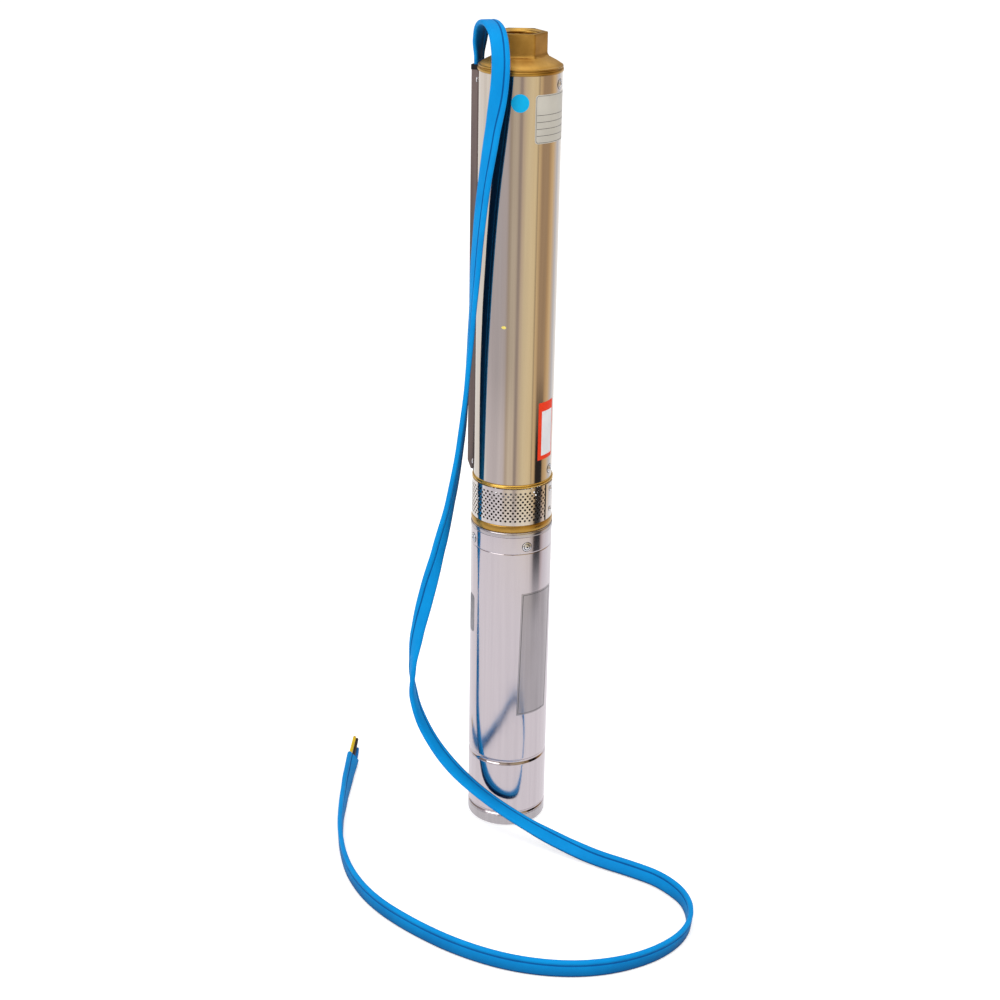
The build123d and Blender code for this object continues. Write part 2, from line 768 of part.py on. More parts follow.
flange_radius_outer = shell_radius + guard_room + guard_sheet
with BuildPart() as cable_guard:
    add(side_slab(guard_side(guard_crown + guard_sheet), 2 * (guard_half_width + guard_sheet)))
    with BuildSketch(Plane.XY.offset(pump_shell_bottom + fit_gap)):
        Circle(flange_radius_outer)
        with Locations(Location((0, 0, 0), (0, 0, guard_azimuth))):
            with Locations((shell_radius, 0)):
                Rectangle(shell_radius, 2 * (guard_half_width + guard_foot), mode=Mode.INTERSECT)
    extrude(amount=guard_top - pump_shell_bottom - fit_gap)
    add(side_slab(guard_side(guard_crown), 2 * guard_half_width), mode=Mode.SUBTRACT)
    with BuildSketch(Plane.XY.offset(pump_shell_bottom)):
        Circle(shell_radius + guard_room)
    extrude(amount=pump_shell_length, mode=Mode.SUBTRACT)
    for level in (shell_screw_low, shell_screw_high):
        for tool in screw_holes(guard_seat + 1, guard_screw_azimuths, level):
            add(tool, mode=Mode.SUBTRACT)
keep(cable_guard, "cable_guard")

# The stretch of flat cable that is held under the guard, from the motor to the head
guarded_cable = side_slab(ribbon(cable_run, cable_thickness / 2), cable_width)
keep(guarded_cable, "guarded_cable")

# Cable gland on the motor, and the clip over the cable at the guard's mouth
gland_outline = [
    (cable_lead_radius - cable_thickness / 2 - gland_wall, bell_top),
    (cable_lead_radius + cable_thickness / 2 + gland_wall, bell_top),
    (cable_lead_radius + cable_thickness / 2 + gland_wall, bell_top + gland_height),
    (cable_lead_radius - cable_thickness / 2 - gland_wall, bell_top + gland_height),
]
with BuildPart() as cable_gland:
    add(side_slab(gland_outline, cable_width + 2 * gland_wall))
    add(cable_channel, mode=Mode.SUBTRACT)
keep(cable_gland, "cable_gland")
clip_bottom = guard_top
clip_outline = [
    (shell_radius + fit_gap, clip_bottom),
    (guard_crown + clip_wall, clip_bottom),
    (guard_crown + clip_wall, clip_bottom + clip_height),
    (shell_radius + fit_gap, clip_bottom + clip_height),
]
with BuildPart() as cable_clip:
    add(side_slab(clip_outline, cable_width + 2 * clip_wall))
    add(cable_channel, mode=Mode.SUBTRACT)
keep(cable_clip, "cable_clip")

# Supply cable: a plain tube on the route of the flat cable's centre line, chosen by hand
exit_point = on_circle(cable_centre, guard_azimuth, cable_exit_level)
cable_points = [
    (exit_point.X, exit_point.Y, exit_point.Z),
    (exit_point.X, exit_point.Y, 782),
    (-31, -4, 797),
    (-21, -33, 794),
    (-17, -47, 772),
    (-18, -48, 744),
    (-24, -44, 705),
    (-32, -36, 648),
    (-37, -30, 589),
    (-40, -25, 529),
    (-44, -21, 469),
    (-49, -19, 410),
    (-58, -16, 350),
    (-70, -13, 296),
    (-82, -10, 246),
    (-92, -7, 201),
    (-97, -7, 164),
    (-96, -9, 130),
    (-83, -13, 94),
    (-57, -33, 65),
    (-21, -44, 36),
    (19, -64, 19),
    (55, -87, 12),
    (88, -107, 8),
    (122, -125, 8),
    (152, -144, 8),
    (175, -180, 8),
    (170, -228, 8),
    (132, -267, 8),
    (76, -287, 8),
    (16, -283, 8),
    (-39, -260, 8),
    (-87, -225, 8),
    (-125, -187, 8),
    (-150, -143, 8),
    (-163, -94, 8),
    (-168, -47, 8),
    (-168, -1, 8),
    (-167, 41, 8),
    (-165, 80, 8),
]


def bend_radii(points):
    """The radius of each corner's bend, from the shorter run beside it and the turn."""
    radii = []
    for before, here, after in zip(points, points[1:], points[2:]):
        run_in = Vector(*here) - Vector(*before)
        run_out = Vector(*after) - Vector(*here)
        half_turn = radians(run_in.get_angle(run_out)) / 2
        radii.append(0.45 * min(run_in.length, run_out.length) / tan(half_turn))
    return radii


radii = bend_radii(cable_points)
with BuildPart() as supply_cable:
    with BuildLine() as cable_path:
        FilletPolyline(*cable_points, radius=radii)
    route = cable_path.wires()[0]
    with BuildSketch(Plane(origin=route @ 0, z_dir=route % 0)) as cable_section:
        RegularPolygon(cable_tube_radius, cable_tube_sides)
    sweep(path=route)
keep(supply_cable, "supply_cable")
print("bend radii", [round(radius, 1) for radius in radii])
print("length", round(route.length, 1), "expected volume", round(route.length * cable_section.sketch.area, 0))
print("volume", round(supply_cable.part.volume, 0))

# The three cores at the cable's bare end
core_plane = Plane(origin=route @ 1, x_dir=(0, 0, 1), z_dir=route % 1)
with BuildPart() as cable_cores:
    with BuildSketch(core_plane):
        with GridLocations(core_spread, 1, 3, 1):
            RegularPolygon(core_radius, cable_tube_sides)
    extrude(amount=core_length)
keep(cable_cores, "cable_cores")

os.makedirs("parts", exist_ok=True)
for label, part in pieces.items():
    export_step(part, f"parts/{label}.step")
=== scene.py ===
from math import atan2, cos, pi, radians, sin

import bmesh
import bpy
from mathutils import Matrix, Vector


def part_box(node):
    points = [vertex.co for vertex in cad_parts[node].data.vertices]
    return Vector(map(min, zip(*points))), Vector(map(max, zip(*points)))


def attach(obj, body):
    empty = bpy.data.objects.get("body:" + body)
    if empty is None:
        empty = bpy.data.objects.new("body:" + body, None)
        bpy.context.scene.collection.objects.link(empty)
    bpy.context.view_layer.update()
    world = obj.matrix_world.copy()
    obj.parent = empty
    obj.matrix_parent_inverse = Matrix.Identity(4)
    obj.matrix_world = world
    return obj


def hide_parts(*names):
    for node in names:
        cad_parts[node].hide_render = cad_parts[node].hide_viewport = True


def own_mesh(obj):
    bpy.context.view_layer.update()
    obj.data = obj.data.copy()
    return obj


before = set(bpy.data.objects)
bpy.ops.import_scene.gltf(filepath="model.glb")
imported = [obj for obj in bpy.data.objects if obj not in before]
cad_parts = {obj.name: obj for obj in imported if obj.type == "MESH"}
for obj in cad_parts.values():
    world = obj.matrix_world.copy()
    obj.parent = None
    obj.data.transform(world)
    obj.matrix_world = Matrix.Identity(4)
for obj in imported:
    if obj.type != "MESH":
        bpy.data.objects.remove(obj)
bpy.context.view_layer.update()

MM = 0.001

# Levels and radii of the pump, read from the frame
motor_low, motor_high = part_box("motor_shell")
shell_low, shell_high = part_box("pump_shell")
strainer_low, strainer_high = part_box("strainer")
bracket_low, bracket_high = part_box("suction_bracket")
head_low, head_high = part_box("discharge_head")
bell_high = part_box("upper_end_bell")[1]
spring_low, spring_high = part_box("valve_spring")
motor_radius = motor_high[0]
shell_radius = shell_high[0]
strainer_radius = strainer_high[0]
guard_azimuth = radians(157.5)
tab_azimuth = radians(-22.5)


def polar(radius, azimuth, level):
    """A point at this radius, azimuth in radians and level."""
    return Vector((radius * cos(azimuth), radius * sin(azimuth), level))


def round_outline(half_wide, half_high, sides):
    """A circle's or an oval's outline."""
    turns = [2 * pi * i / sides for i in range(sides)]
    return [(half_wide * cos(turn), half_high * sin(turn)) for turn in turns]


def placed(name, data):
    """A new object in the scene with this data."""
    obj = bpy.data.objects.new(name, data)
    bpy.context.collection.objects.link(obj)
    return obj


def live_mesh(obj):
    """The plain mesh that a live object makes; the object itself goes."""
    bpy.context.view_layer.update()
    evaluated = obj.evaluated_get(bpy.context.evaluated_depsgraph_get())
    mesh = bpy.data.meshes.new_from_object(evaluated)
    bpy.data.objects.remove(obj)
    return mesh


# The camera, fitted to the photograph's viewing angle
camera_place = Vector((-0.01157, -1.6479, 1.0153))
camera_pitch = radians(22.211)
camera_roll = radians(1.008)
camera_lens = 66.18


def make_camera():
    """The photograph's camera: tilted down and rolled by a degree."""
    ahead = Vector((0, cos(camera_pitch), -sin(camera_pitch)))
    upright = Vector((0, sin(camera_pitch), cos(camera_pitch)))
    across = Vector((1, 0, 0))
    right = cos(camera_roll) * across + sin(camera_roll) * upright
    up = -sin(camera_roll) * across + cos(camera_roll) * upright
    data = bpy.data.cameras.new("photo_camera")
    data.lens = camera_lens
    data.sensor_width = 36
    camera = placed("photo_camera", data)
    turn = Matrix((right, up, -ahead)).transposed().to_4x4()
    camera.matrix_world = Matrix.Translation(camera_place) @ turn
    bpy.context.scene.camera = camera


make_camera()


def mesh_object(name, vertices, faces, smooth=True):
    """A mesh object at the origin from lists of vertices and faces."""
    mesh = bpy.data.meshes.new(name)
    mesh.from_pydata([tuple(v) for v in vertices], [], faces)
    mesh.update()
    for face in mesh.polygons:
        face.use_smooth = smooth
    return placed(name, mesh)


def outward(obj):
    """Turns all faces of a closed piece outwards."""
    made = bmesh.new()
    made.from_mesh(obj.data)
    bmesh.ops.recalc_face_normals(made, faces=made.faces)
    made.to_mesh(obj.data)
    made.free()
    return obj


def sharpen(obj, angle=35):
    """Keeps edges steeper than this angle sharp on a smooth piece."""
    obj.data.set_sharp_from_angle(angle=radians(angle))
    return obj


def merged(obj, distance):
    """Joins the points of a piece that are closer than this distance."""
    made = bmesh.new()
    made.from_mesh(obj.data)
    bmesh.ops.remove_doubles(made, verts=made.verts, dist=distance)
    made.to_mesh(obj.data)
    made.free()
    return obj


def band_faces(rows, count, joined=False):
    """Faces between rows of points that close round; the last row may join the first."""
    faces = []
    for i in range(rows if joined else rows - 1):
        here = i * count
        there = (i + 1) % rows * count
        for k in range(count):
            after = (k + 1) % count
            faces.append((here + k, here + after, there + after, there + k))
    return faces


def end_faces(rows, count):
    """The two faces that close a tube of rows at its ends."""
    return [tuple(reversed(range(count))), tuple(range((rows - 1) * count, rows * count))]


# The supply cable: its route, as in the CAD source, and how its flat section turns along it
cable_route = [
    (-36.956, 15.308, 760.5), (-36.956, 15.308, 782), (-31, -4, 797), (-21, -33, 794),
    (-17, -47, 772), (-18, -48, 744), (-24, -44, 705), (-32, -36, 648), (-37, -30, 589),
    (-40, -25, 529), (-44, -21, 469), (-49, -19, 410), (-58, -16, 350), (-70, -13, 296),
    (-82, -10, 246), (-92, -7, 201), (-97, -7, 164), (-96, -9, 130), (-83, -13, 94),
    (-57, -33, 65), (-21, -44, 36), (19, -64, 19), (55, -87, 12), (88, -107, 8), (122, -125, 8),
    (152, -144, 8), (175, -180, 8), (170, -228, 8), (132, -267, 8), (76, -287, 8), (16, -283, 8),
    (-39, -260, 8), (-87, -225, 8), (-125, -187, 8), (-150, -143, 8), (-163, -94, 8),
    (-168, -47, 8), (-168, -1, 8), (-167, 41, 8), (-165, 80, 8),
]
hanging_widths = [
    (0.383, 0.924, 0), (0.75, 0.66, 0), (0.95, 0.31, 0), (1, 0.08, 0), (1, 0, 0), (1, -0.05, 0),
    (0.78, -0.62, 0), (0.6, -0.8, 0), (0.48, -0.88, 0), (0.2, -0.98, 0), (0, -1, 0),
    (-0.27, -0.96, 0), (-0.45, -0.89, 0), (-0.8, -0.6, 0), (-1, 0.03, 0), (-0.78, 0.62, 0),
    (-0.3, 0.95, 0), (0.3, 0.94, -0.04), (0.52, 0.85, 0), (0.55, 0.82, 0.15), (0.45, 0.88, 0.1),
]
floor_leans = [80, 55, 30, 28, 26, 12, 5, -3, -9, -12, -12, -10, -7, -3, 1, 5, 14, 28, 40]
loop_centre = Vector((0, -0.165, 0))
cable_width = 16 * MM
cable_thickness = 4.8 * MM
cable_groove = 0.3
groove_shape = [
    (-1.3, 0), (-0.75, 0.12), (-0.42, 0.3), (-0.2, 0.6),
    (0.2, 0.6), (0.42, 0.3), (0.75, 0.12), (1.3, 0),
]


def cable_line():
    """The points of the cable's own spline, evenly spaced along each of its runs."""
    curve = bpy.data.curves.new("cable_line", "CURVE")
    curve.dimensions = "3D"
    curve.resolution_u = 12
    spline = curve.splines.new("NURBS")
    spline.points.add(len(cable_route) - 1)
    for point, place in zip(spline.points, cable_route):
        point.co = (place[0] * MM, place[1] * MM, place[2] * MM, 1)
    spline.order_u = 3
    spline.use_endpoint_u = True
    mesh = live_mesh(placed("cable_line", curve))
    points = [v.co.copy() for v in mesh.vertices]
    bpy.data.meshes.remove(mesh)
    return points


def cable_width_at(index, along, place):
    """The direction across the flat section at one of the route's points."""
    if index < len(hanging_widths):
        return Vector(hanging_widths[index])
    lean = radians(floor_leans[index - len(hanging_widths)])
    away = along.cross(Vector((0, 0, 1))).normalized()
    if away.dot(place - loop_centre) < 0:
        away = -away
    return Vector((0, 0, cos(lean))) + away * sin(lean)


def flat_section():
    """The outline of the flat cable's section, across and through, in metres."""
    half = cable_width / 2
    edge = cable_thickness / 2
    groove = half - cable_groove * cable_width
    flat_spot = -1.5 * MM
    turns = [pi * i / 6 for i in range(7)]
    outline = [(half - edge + edge * cos(pi / 2 - t), edge * sin(pi / 2 - t)) for t in turns]
    outline += [(groove - offset * MM, -edge + depth * MM) for offset, depth in groove_shape]
    outline.append((flat_spot, -edge))
    outline += [(-half + edge + edge * cos(-pi / 2 - t), edge * sin(-pi / 2 - t)) for t in turns]
    outline.append((flat_spot, edge))
    outline += [(groove + offset * MM, edge - depth * MM) for offset, depth in groove_shape]
    return outline


def paint_groove_shade(tube, section):
    """Puts a darker blue on the faces that lie in the groove: painted shade on the one-blue sheath."""
    tube.data.materials.append(cable_blue)
    tube.data.materials.append(cable_groove_painted_shade)
    count = len(section)
    half = cable_thickness / 2
    for k, (across, deep) in enumerate(section):
        middle = (abs(deep) + abs(section[(k + 1) % count][1])) / 2
        if abs(across) < half * 2.2 and middle < half - 0.2 * MM:
            for face in range(k, len(tube.data.polygons) - 2, count):
                tube.data.polygons[face].material_index = 1


def swept(name, points, widths, section):
    """A closed tube of the given section along points, turned so that it lies along the widths."""
    vertices = []
    for i, point in enumerate(points):
        before = points[max(i - 1, 0)]
        after = points[min(i + 1, len(points) - 1)]
        along = (after - before).normalized()
        width = widths[i] - along * widths[i].dot(along)
        width.normalize()
        through = along.cross(width)
        for across, deep in section:
            vertices.append(point + width * across + through * deep)
    size = (len(points), len(section))
    return outward(mesh_object(name, vertices, band_faces(*size) + end_faces(*size)))


def route_widths(points):
    """The section's direction at each point of the cable's line, blended between route points."""
    places = [Vector(p) * MM for p in cable_route]
    last = len(places) - 1
    at_route = []
    for i, place in enumerate(places):
        along = (places[min(i + 1, last)] - places[max(i - 1, 0)]).normalized()
        at_route.append(cable_width_at(i, along, place).normalized())
    widths = []
    for k in range(len(points)):
        where = k / (len(points) - 1) * (last - 1)
        where = min(max(where + 0.5, 0), last)
        if where < 1:
            where = max(where - 0.5, 0) * 2
        if where > last - 1:
            where = last - 1 + min((where - last + 1) * 2, 1)
        low = min(int(where), last - 1)
        share = where - low
        share = share * share * (3 - 2 * share)
        widths.append(at_route[low].lerp(at_route[low + 1], share).normalized())
    return widths


cable_points = cable_line()
cable_widths = route_widths(cable_points)
supply_cable = sharpen(swept("flat_supply_cable", cable_points, cable_widths, flat_section()))


# Radius and level of the cable's stretch under the guard
held_route = [(23.5, 318), (23.5, 330), (33.5, 352), (33.5, 366), (40, 382), (40, 400), (40, 760.5)]


def held_cable():
    """The stretch of cable from the motor up the guard, of the same flat section."""
    corners = [polar(radius * MM, guard_azimuth, level * MM) for radius, level in held_route]
    points = [corners[0]]
    for before, corner, after in zip(corners, corners[1:], corners[2:]):
        reach = min((corner - before).length, (after - corner).length) * 0.42
        enter = corner + (before - corner).normalized() * reach
        leave = corner + (after - corner).normalized() * reach
        for i in range(7):
            share = i / 6
            points.append(enter.lerp(corner, share).lerp(corner.lerp(leave, share), share))
    points.append(corners[-1])
    sideways = Vector((sin(guard_azimuth), -cos(guard_azimuth), 0))
    return swept("held_cable", points, [sideways] * len(points), flat_section())


guarded_cable = held_cable()


def core_tube(name, start, along, side, offset, spread_out, length):
    """One insulated core that leaves the sheath and bends a little away from its neighbours."""
    steps = 10
    radius = 1.75 * MM
    points = []
    for i in range(steps + 1):
        share = i / steps
        points.append(start + along * length * share + side * (offset + spread_out * share * share))
    return swept(name, points, [side] * len(points), round_outline(radius, radius, 14))


end_along = (cable_points[-1] - cable_points[-2]).normalized()
core_start = cable_points[-1] - end_along * 2 * MM
cable_cores = []
for core_name, *core_sizes in (
    ("core_yellow", 4.4, 0.2, 38),
    ("core_brown", 0.0, 0.9, 39),
    ("core_blue", -4.4, 1.2, 24),
):
    sizes = [size * MM for size in core_sizes]
    cable_cores.append(core_tube(core_name, core_start, end_along, cable_widths[-1], *sizes))


# Node helpers for materials and for geometry
def link(tree, value, socket):
    """Joins an input to another node's socket, or sets it to a plain value."""
    if isinstance(value, bpy.types.NodeSocket):
        tree.links.new(value, socket)
    elif socket.type == "RGBA":
        socket.default_value = (*value, 1)
    else:
        socket.default_value = value


def node(tree, kind, inputs=None, **settings):
    """A node with these settings and inputs."""
    made = tree.nodes.new(kind)
    for key, value in settings.items():
        setattr(made, key, value)
    for key, value in (inputs or {}).items():
        link(tree, value, made.inputs[key])
    return made


def maths(tree, operation, *values):
    """A maths node on sockets or plain numbers."""
    return node(tree, "ShaderNodeMath", dict(enumerate(values)), operation=operation).outputs[0]


def new_material(name, **inputs):
    """A new node material, its tree and its main shader with these inputs."""
    made = bpy.data.materials.new(name)
    made.use_nodes = True
    shader = made.node_tree.nodes["Principled BSDF"]
    for key, value in inputs.items():
        shader.inputs[key].default_value = value
    return made, made.node_tree, shader


def coordinates(tree, scale=(1, 1, 1)):
    """Object coordinates, stretched by this scale."""
    source = node(tree, "ShaderNodeTexCoord").outputs["Object"]
    return node(tree, "ShaderNodeMapping", {"Scale": scale, "Vector": source}).outputs["Vector"]


def noise(tree, vector, scale, detail, rough):
    """A noise value read at this vector."""
    inputs = {"Scale": scale, "Detail": detail, "Roughness": rough, "Vector": vector}
    return node(tree, "ShaderNodeTexNoise", inputs).outputs["Fac"]


def ramp(tree, value, stops):
    """A colour ramp over a value: a list of place and colour."""
    made = node(tree, "ShaderNodeValToRGB", {"Fac": value})
    elements = made.color_ramp.elements
    while len(elements) < len(stops):
        elements.new(0.5)
    for element, (place, colour) in zip(elements, stops):
        element.position = place
        element.color = (*colour, 1)
    return made.outputs["Color"]


def spread(tree, value, low, high, from_low=0.3, from_high=0.7):
    """A value mapped into a range."""
    inputs = {"From Min": from_low, "From Max": from_high, "To Min": low, "To Max": high}
    return node(tree, "ShaderNodeMapRange", {**inputs, "Value": value}).outputs["Result"]


def mix_colours(tree, share, first, second, blend="MIX"):
    """One colour turning into another, or blended with it, as the share goes from 0 to 1."""
    inputs = {"Fac": share, "Color1": first, "Color2": second}
    return node(tree, "ShaderNodeMixRGB", inputs, blend_type=blend).outputs["Color"]


def surface(tree, shader, shade, tones, wear, rough, height, strength, depth):
    """Joins noises to a shader: a shade between two tones, a range of roughness and a bump."""
    colour = ramp(tree, shade, [(0.3, tones[0]), (0.7, tones[1])])
    link(tree, colour, shader.inputs["Base Color"])
    link(tree, spread(tree, wear, *rough), shader.inputs["Roughness"])
    raised = node(tree, "ShaderNodeBump", {"Strength": strength, "Distance": depth, "Height": height})
    link(tree, raised.outputs["Normal"], shader.inputs["Normal"])
    return colour


def drawn_tube(name, dark, light, low, high, relief=0.03):
    """Polished drawn tube: faint streaks along its length, and fine rubbing marks."""
    made, tree, shader = new_material(name, Metallic=1.0)
    streaks = noise(tree, coordinates(tree, (1, 1, 0.02)), 160, 3, 0.6)
    rubs = noise(tree, coordinates(tree, (1, 1, 0.6)), 45, 5, 0.6)
    surface(tree, shader, streaks, (dark, light), rubs, (low, high), streaks, relief, 0.0001)
    return made


def turned_metal(name, dark, light, low, high, grain=0.15):
    """Turned metal: fine rings round the axis."""
    made, tree, shader = new_material(name, Metallic=1.0)
    rings = noise(tree, coordinates(tree, (0.02, 0.02, 1)), 900, 3, 0.6)
    blotches = noise(tree, coordinates(tree), 60, 5, 0.6)
    surface(tree, shader, blotches, (dark, light), blotches, (low, high), rings, grain, 0.0002)
    return made


def cast_metal(name, dark, light, low, high):
    """Cast metal, tumbled clean: fine pits and soft blotches."""
    made, tree, shader = new_material(name, Metallic=1.0)
    grain = noise(tree, coordinates(tree), 1100, 6, 0.7)
    blotches = noise(tree, coordinates(tree), 70, 5, 0.55)
    surface(tree, shader, blotches, (dark, light), grain, (low, high), grain, 0.35, 0.0003)
    return made


def painted_close_shade(tree, shader, colour, reach, deep):
    """Darkens a colour towards a deep colour where another surface stands close by: painted shade."""
    near = node(tree, "ShaderNodeAmbientOcclusion", {"Distance": reach}, samples=8)
    open_share = spread(tree, near.outputs["AO"], 0, 1, 0.35, 0.85)
    link(tree, mix_colours(tree, open_share, deep, colour), shader.inputs["Base Color"])


def moulded(name, dark, light, low, high, grain_scale=700, relief=0.12, gloss=0.5, deep=None):
    """Moulded plastic, rubber or paint: a fine skin with slight shade changes, and painted shade near
    other surfaces when a deep colour is given.
    """
    made, tree, shader = new_material(name, **{"Specular IOR Level": gloss})
    grain = noise(tree, coordinates(tree), grain_scale, 4, 0.6)
    blotches = noise(tree, coordinates(tree), 35, 4, 0.5)
    tones = (dark, light)
    colour = surface(tree, shader, blotches, tones, grain, (low, high), grain, relief, 0.0002)
    if deep:
        painted_close_shade(tree, shader, colour, 0.05, deep)
    return made


# The pump tube's warm beige and the motor tube's faint lilac are painted reflection tints.
pump_tube = drawn_tube("polished_pump_tube", (0.59, 0.52, 0.44), (0.67, 0.60, 0.51), 0.06, 0.12)
motor_tube = drawn_tube("polished_motor_tube", (0.585, 0.535, 0.545), (0.645, 0.59, 0.60), 0.09, 0.17)
# The cap rim's steel is a darker copy of the motor tube's: painted shade low by the floor.
cap_shade_steel = drawn_tube("polished_cap_shade", (0.44, 0.42, 0.42), (0.50, 0.475, 0.475), 0.1, 0.18)
sheet_steel = drawn_tube("satin_sheet", (0.66, 0.61, 0.56), (0.76, 0.71, 0.65), 0.07, 0.15)
guard_steel = drawn_tube("guard_sheet", (0.20, 0.155, 0.13), (0.30, 0.24, 0.21), 0.24, 0.38)
lip_steel = turned_metal("turned_lip", (0.48, 0.45, 0.45), (0.56, 0.53, 0.53), 0.14, 0.22, 0.02)
screw_steel = turned_metal("screw_steel", (0.7, 0.7, 0.71), (0.85, 0.85, 0.86), 0.15, 0.3)
shaft_steel = turned_metal("ground_shaft", (0.55, 0.55, 0.58), (0.7, 0.7, 0.72), 0.15, 0.3)
core_steel = turned_metal("laminated_core", (0.22, 0.22, 0.25), (0.36, 0.36, 0.4), 0.4, 0.55, 0.5)
head_brass = cast_metal("cast_brass", (0.47, 0.265, 0.058), (0.63, 0.375, 0.09), 0.4, 0.58)
ring_brass = turned_metal("turned_brass", (0.45, 0.255, 0.05), (0.60, 0.36, 0.085), 0.24, 0.4, 0.05)
# Near-black brass: painted shade for the dark inside of the strainer; the bracket is one brass
# casting.
bracket_shade_brass = cast_metal("bracket_shade_brass", (0.10, 0.06, 0.02), (0.17, 0.10, 0.035), 0.5, 0.7)
# The crown ring's brass is a lighter copy of the turned brass: painted highlight on the upper ring.
crown_highlight_brass = turned_metal("painted_highlight_brass", (0.62, 0.38, 0.08), (0.78, 0.50, 0.11), 0.22, 0.34, 0.03)
# Near black: painted shade in screw recesses and painted shadow at the strainer tab's edge.
painted_shade_black = moulded("painted_shade_black", (0.01, 0.01, 0.01), (0.03, 0.028, 0.026), 0.6, 0.8)
housing_iron = cast_metal("cast_housing", (0.12, 0.12, 0.13), (0.22, 0.22, 0.23), 0.5, 0.7)
black_rubber = moulded("black_rubber", (0.012, 0.012, 0.013), (0.03, 0.03, 0.03), 0.5, 0.7)
clip_tones = ((0.006, 0.006, 0.007), (0.012, 0.012, 0.013))
clip_plastic = moulded("clip_plastic", *clip_tones, 0.4, 0.55, gloss=0.2)
stage_plastic = moulded("stage_plastic", (0.62, 0.6, 0.54), (0.74, 0.72, 0.66), 0.35, 0.5)
winding_resin = moulded("winding_resin", (0.25, 0.09, 0.03), (0.42, 0.17, 0.06), 0.25, 0.45, 300, 0.4)
seal_carbon = moulded("seal_carbon", (0.03, 0.03, 0.032), (0.06, 0.06, 0.062), 0.3, 0.45)
seal_ceramic = moulded("seal_ceramic", (0.8, 0.77, 0.7), (0.88, 0.86, 0.8), 0.15, 0.25)
cable_tones = ((0.0, 0.24, 0.63), (0.0, 0.295, 0.72))
# The sheath's last colour is painted shade, laid where the pump tube and other parts stand close.
cable_blue = moulded("cable_blue", *cable_tones, 0.5, 0.62, 500, 0.05, 0.09, (0.0, 0.03, 0.12))
# The groove's darker blue is painted shade in the groove.
groove_shade_tones = ((0.0, 0.10, 0.34), (0.0, 0.13, 0.40))
cable_groove_painted_shade = moulded("cable_groove_painted_shade", *groove_shade_tones, 0.55, 0.65, 500, 0.05, 0.1)
core_brown = moulded("core_brown", (0.02, 0.012, 0.012), (0.04, 0.022, 0.02), 0.4, 0.55, gloss=0.2)
core_yellow = moulded("core_yellow", (0.72, 0.47, 0.004), (0.84, 0.58, 0.01), 0.4, 0.55, gloss=0.2)
core_blue = moulded("core_blue", (0.0, 0.13, 0.45), (0.0, 0.18, 0.55), 0.4, 0.55, gloss=0.2)

node_finishes = (
    (motor_tube, "bottom_cap motor_shell"),
    (lip_steel, "upper_end_bell"),
    (screw_steel, "motor_screws strainer_screws shell_screws"),
    (black_rubber, "diaphragm cable_gland top_bearing valve_seal"),
    (housing_iron, "lower_bearing_housing"),
    (seal_carbon, "bearing_sleeves thrust_plate seal_ring"),
    (core_steel, "stator_core rotor_core"),
    (winding_resin, "stator_windings"),
    (seal_ceramic, "seal_seat"),
    (ring_brass, "suction_bracket valve_poppet"),
    (sheet_steel, "strainer"),
    (pump_tube, "pump_shell"),
    (stage_plastic, "diffuser_stack bearing_spider valve_guide impellers"),
    (head_brass, "discharge_head"),
    (guard_steel, "cable_guard"),
    (clip_plastic, "cable_clip"),
    (cable_blue, "guarded_cable"),
    (shaft_steel, "motor_shaft thrust_runner shaft_coupling pump_shaft shaft_sleeve"),
)


def dress(obj, finish):
    """Gives a piece one finish all over."""
    obj.data.materials.clear()
    obj.data.materials.append(finish)
    return obj


def housed(piece, label=None):
    """Lets a piece stand still with the housing, in the place of a CAD node if one is named."""
    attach(piece, "housing")
    if label:
        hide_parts(label)


for finish, labels in node_finishes:
    for label in labels.split():
        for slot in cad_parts[label].material_slots:
            slot.material = finish

paint_groove_shade(supply_cable, flat_section())
paint_groove_shade(guarded_cable, flat_section())
for core, finish in zip(cable_cores, (core_yellow, core_brown, core_blue)):
    housed(dress(core, finish))
housed(supply_cable, "supply_cable")
housed(guarded_cable, "guarded_cable")
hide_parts("cable_cores")


def lathe(name, profile, segments, start=0.0, sweep=2 * pi):
    """A turned piece from a closed profile of radius and level; a part turn is capped at both ends."""
    whole = abs(sweep - 2 * pi) < 1e-6
    size = (segments if whole else segments + 1, len(profile))
    vertices = []
    for i in range(size[0]):
        turn = start + sweep * i / segments
        vertices += [polar(radius, turn, level) for radius, level in profile]
    faces = band_faces(*size, whole)
    if not whole:
        faces += end_faces(*size)
    return sharpen(outward(mesh_object(name, vertices, faces)))


def rim_radius(label, bottom, top):
    """The largest radius of a CAD node between two levels."""
    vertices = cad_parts[label].data.vertices
    return max(v.co.xy.length for v in vertices if bottom <= v.co.z <= top)


def inner_body(name, label, reach, finish):
    """A copy of a CAD node's body, drawn in to a radius, for a finer rim to close round."""
    body = placed(name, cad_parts[label].data.copy())
    for vertex in merged(body, 0.01 * MM).data.vertices:
        out = vertex.co.xy.length
        if out > reach:
            vertex.co.x *= reach / out
            vertex.co.y *= reach / out
    housed(dress(body, finish), label)


tube_sides = 256


def turned(name, profile, finish, label, start=0.0, sweep=2 * pi):
    """A turned piece of the housing from millimetre radius and level points."""
    points = [(radius * MM, level * MM) for radius, level in profile]
    housed(dress(lathe(name, points, tube_sides, start, sweep), finish), label)


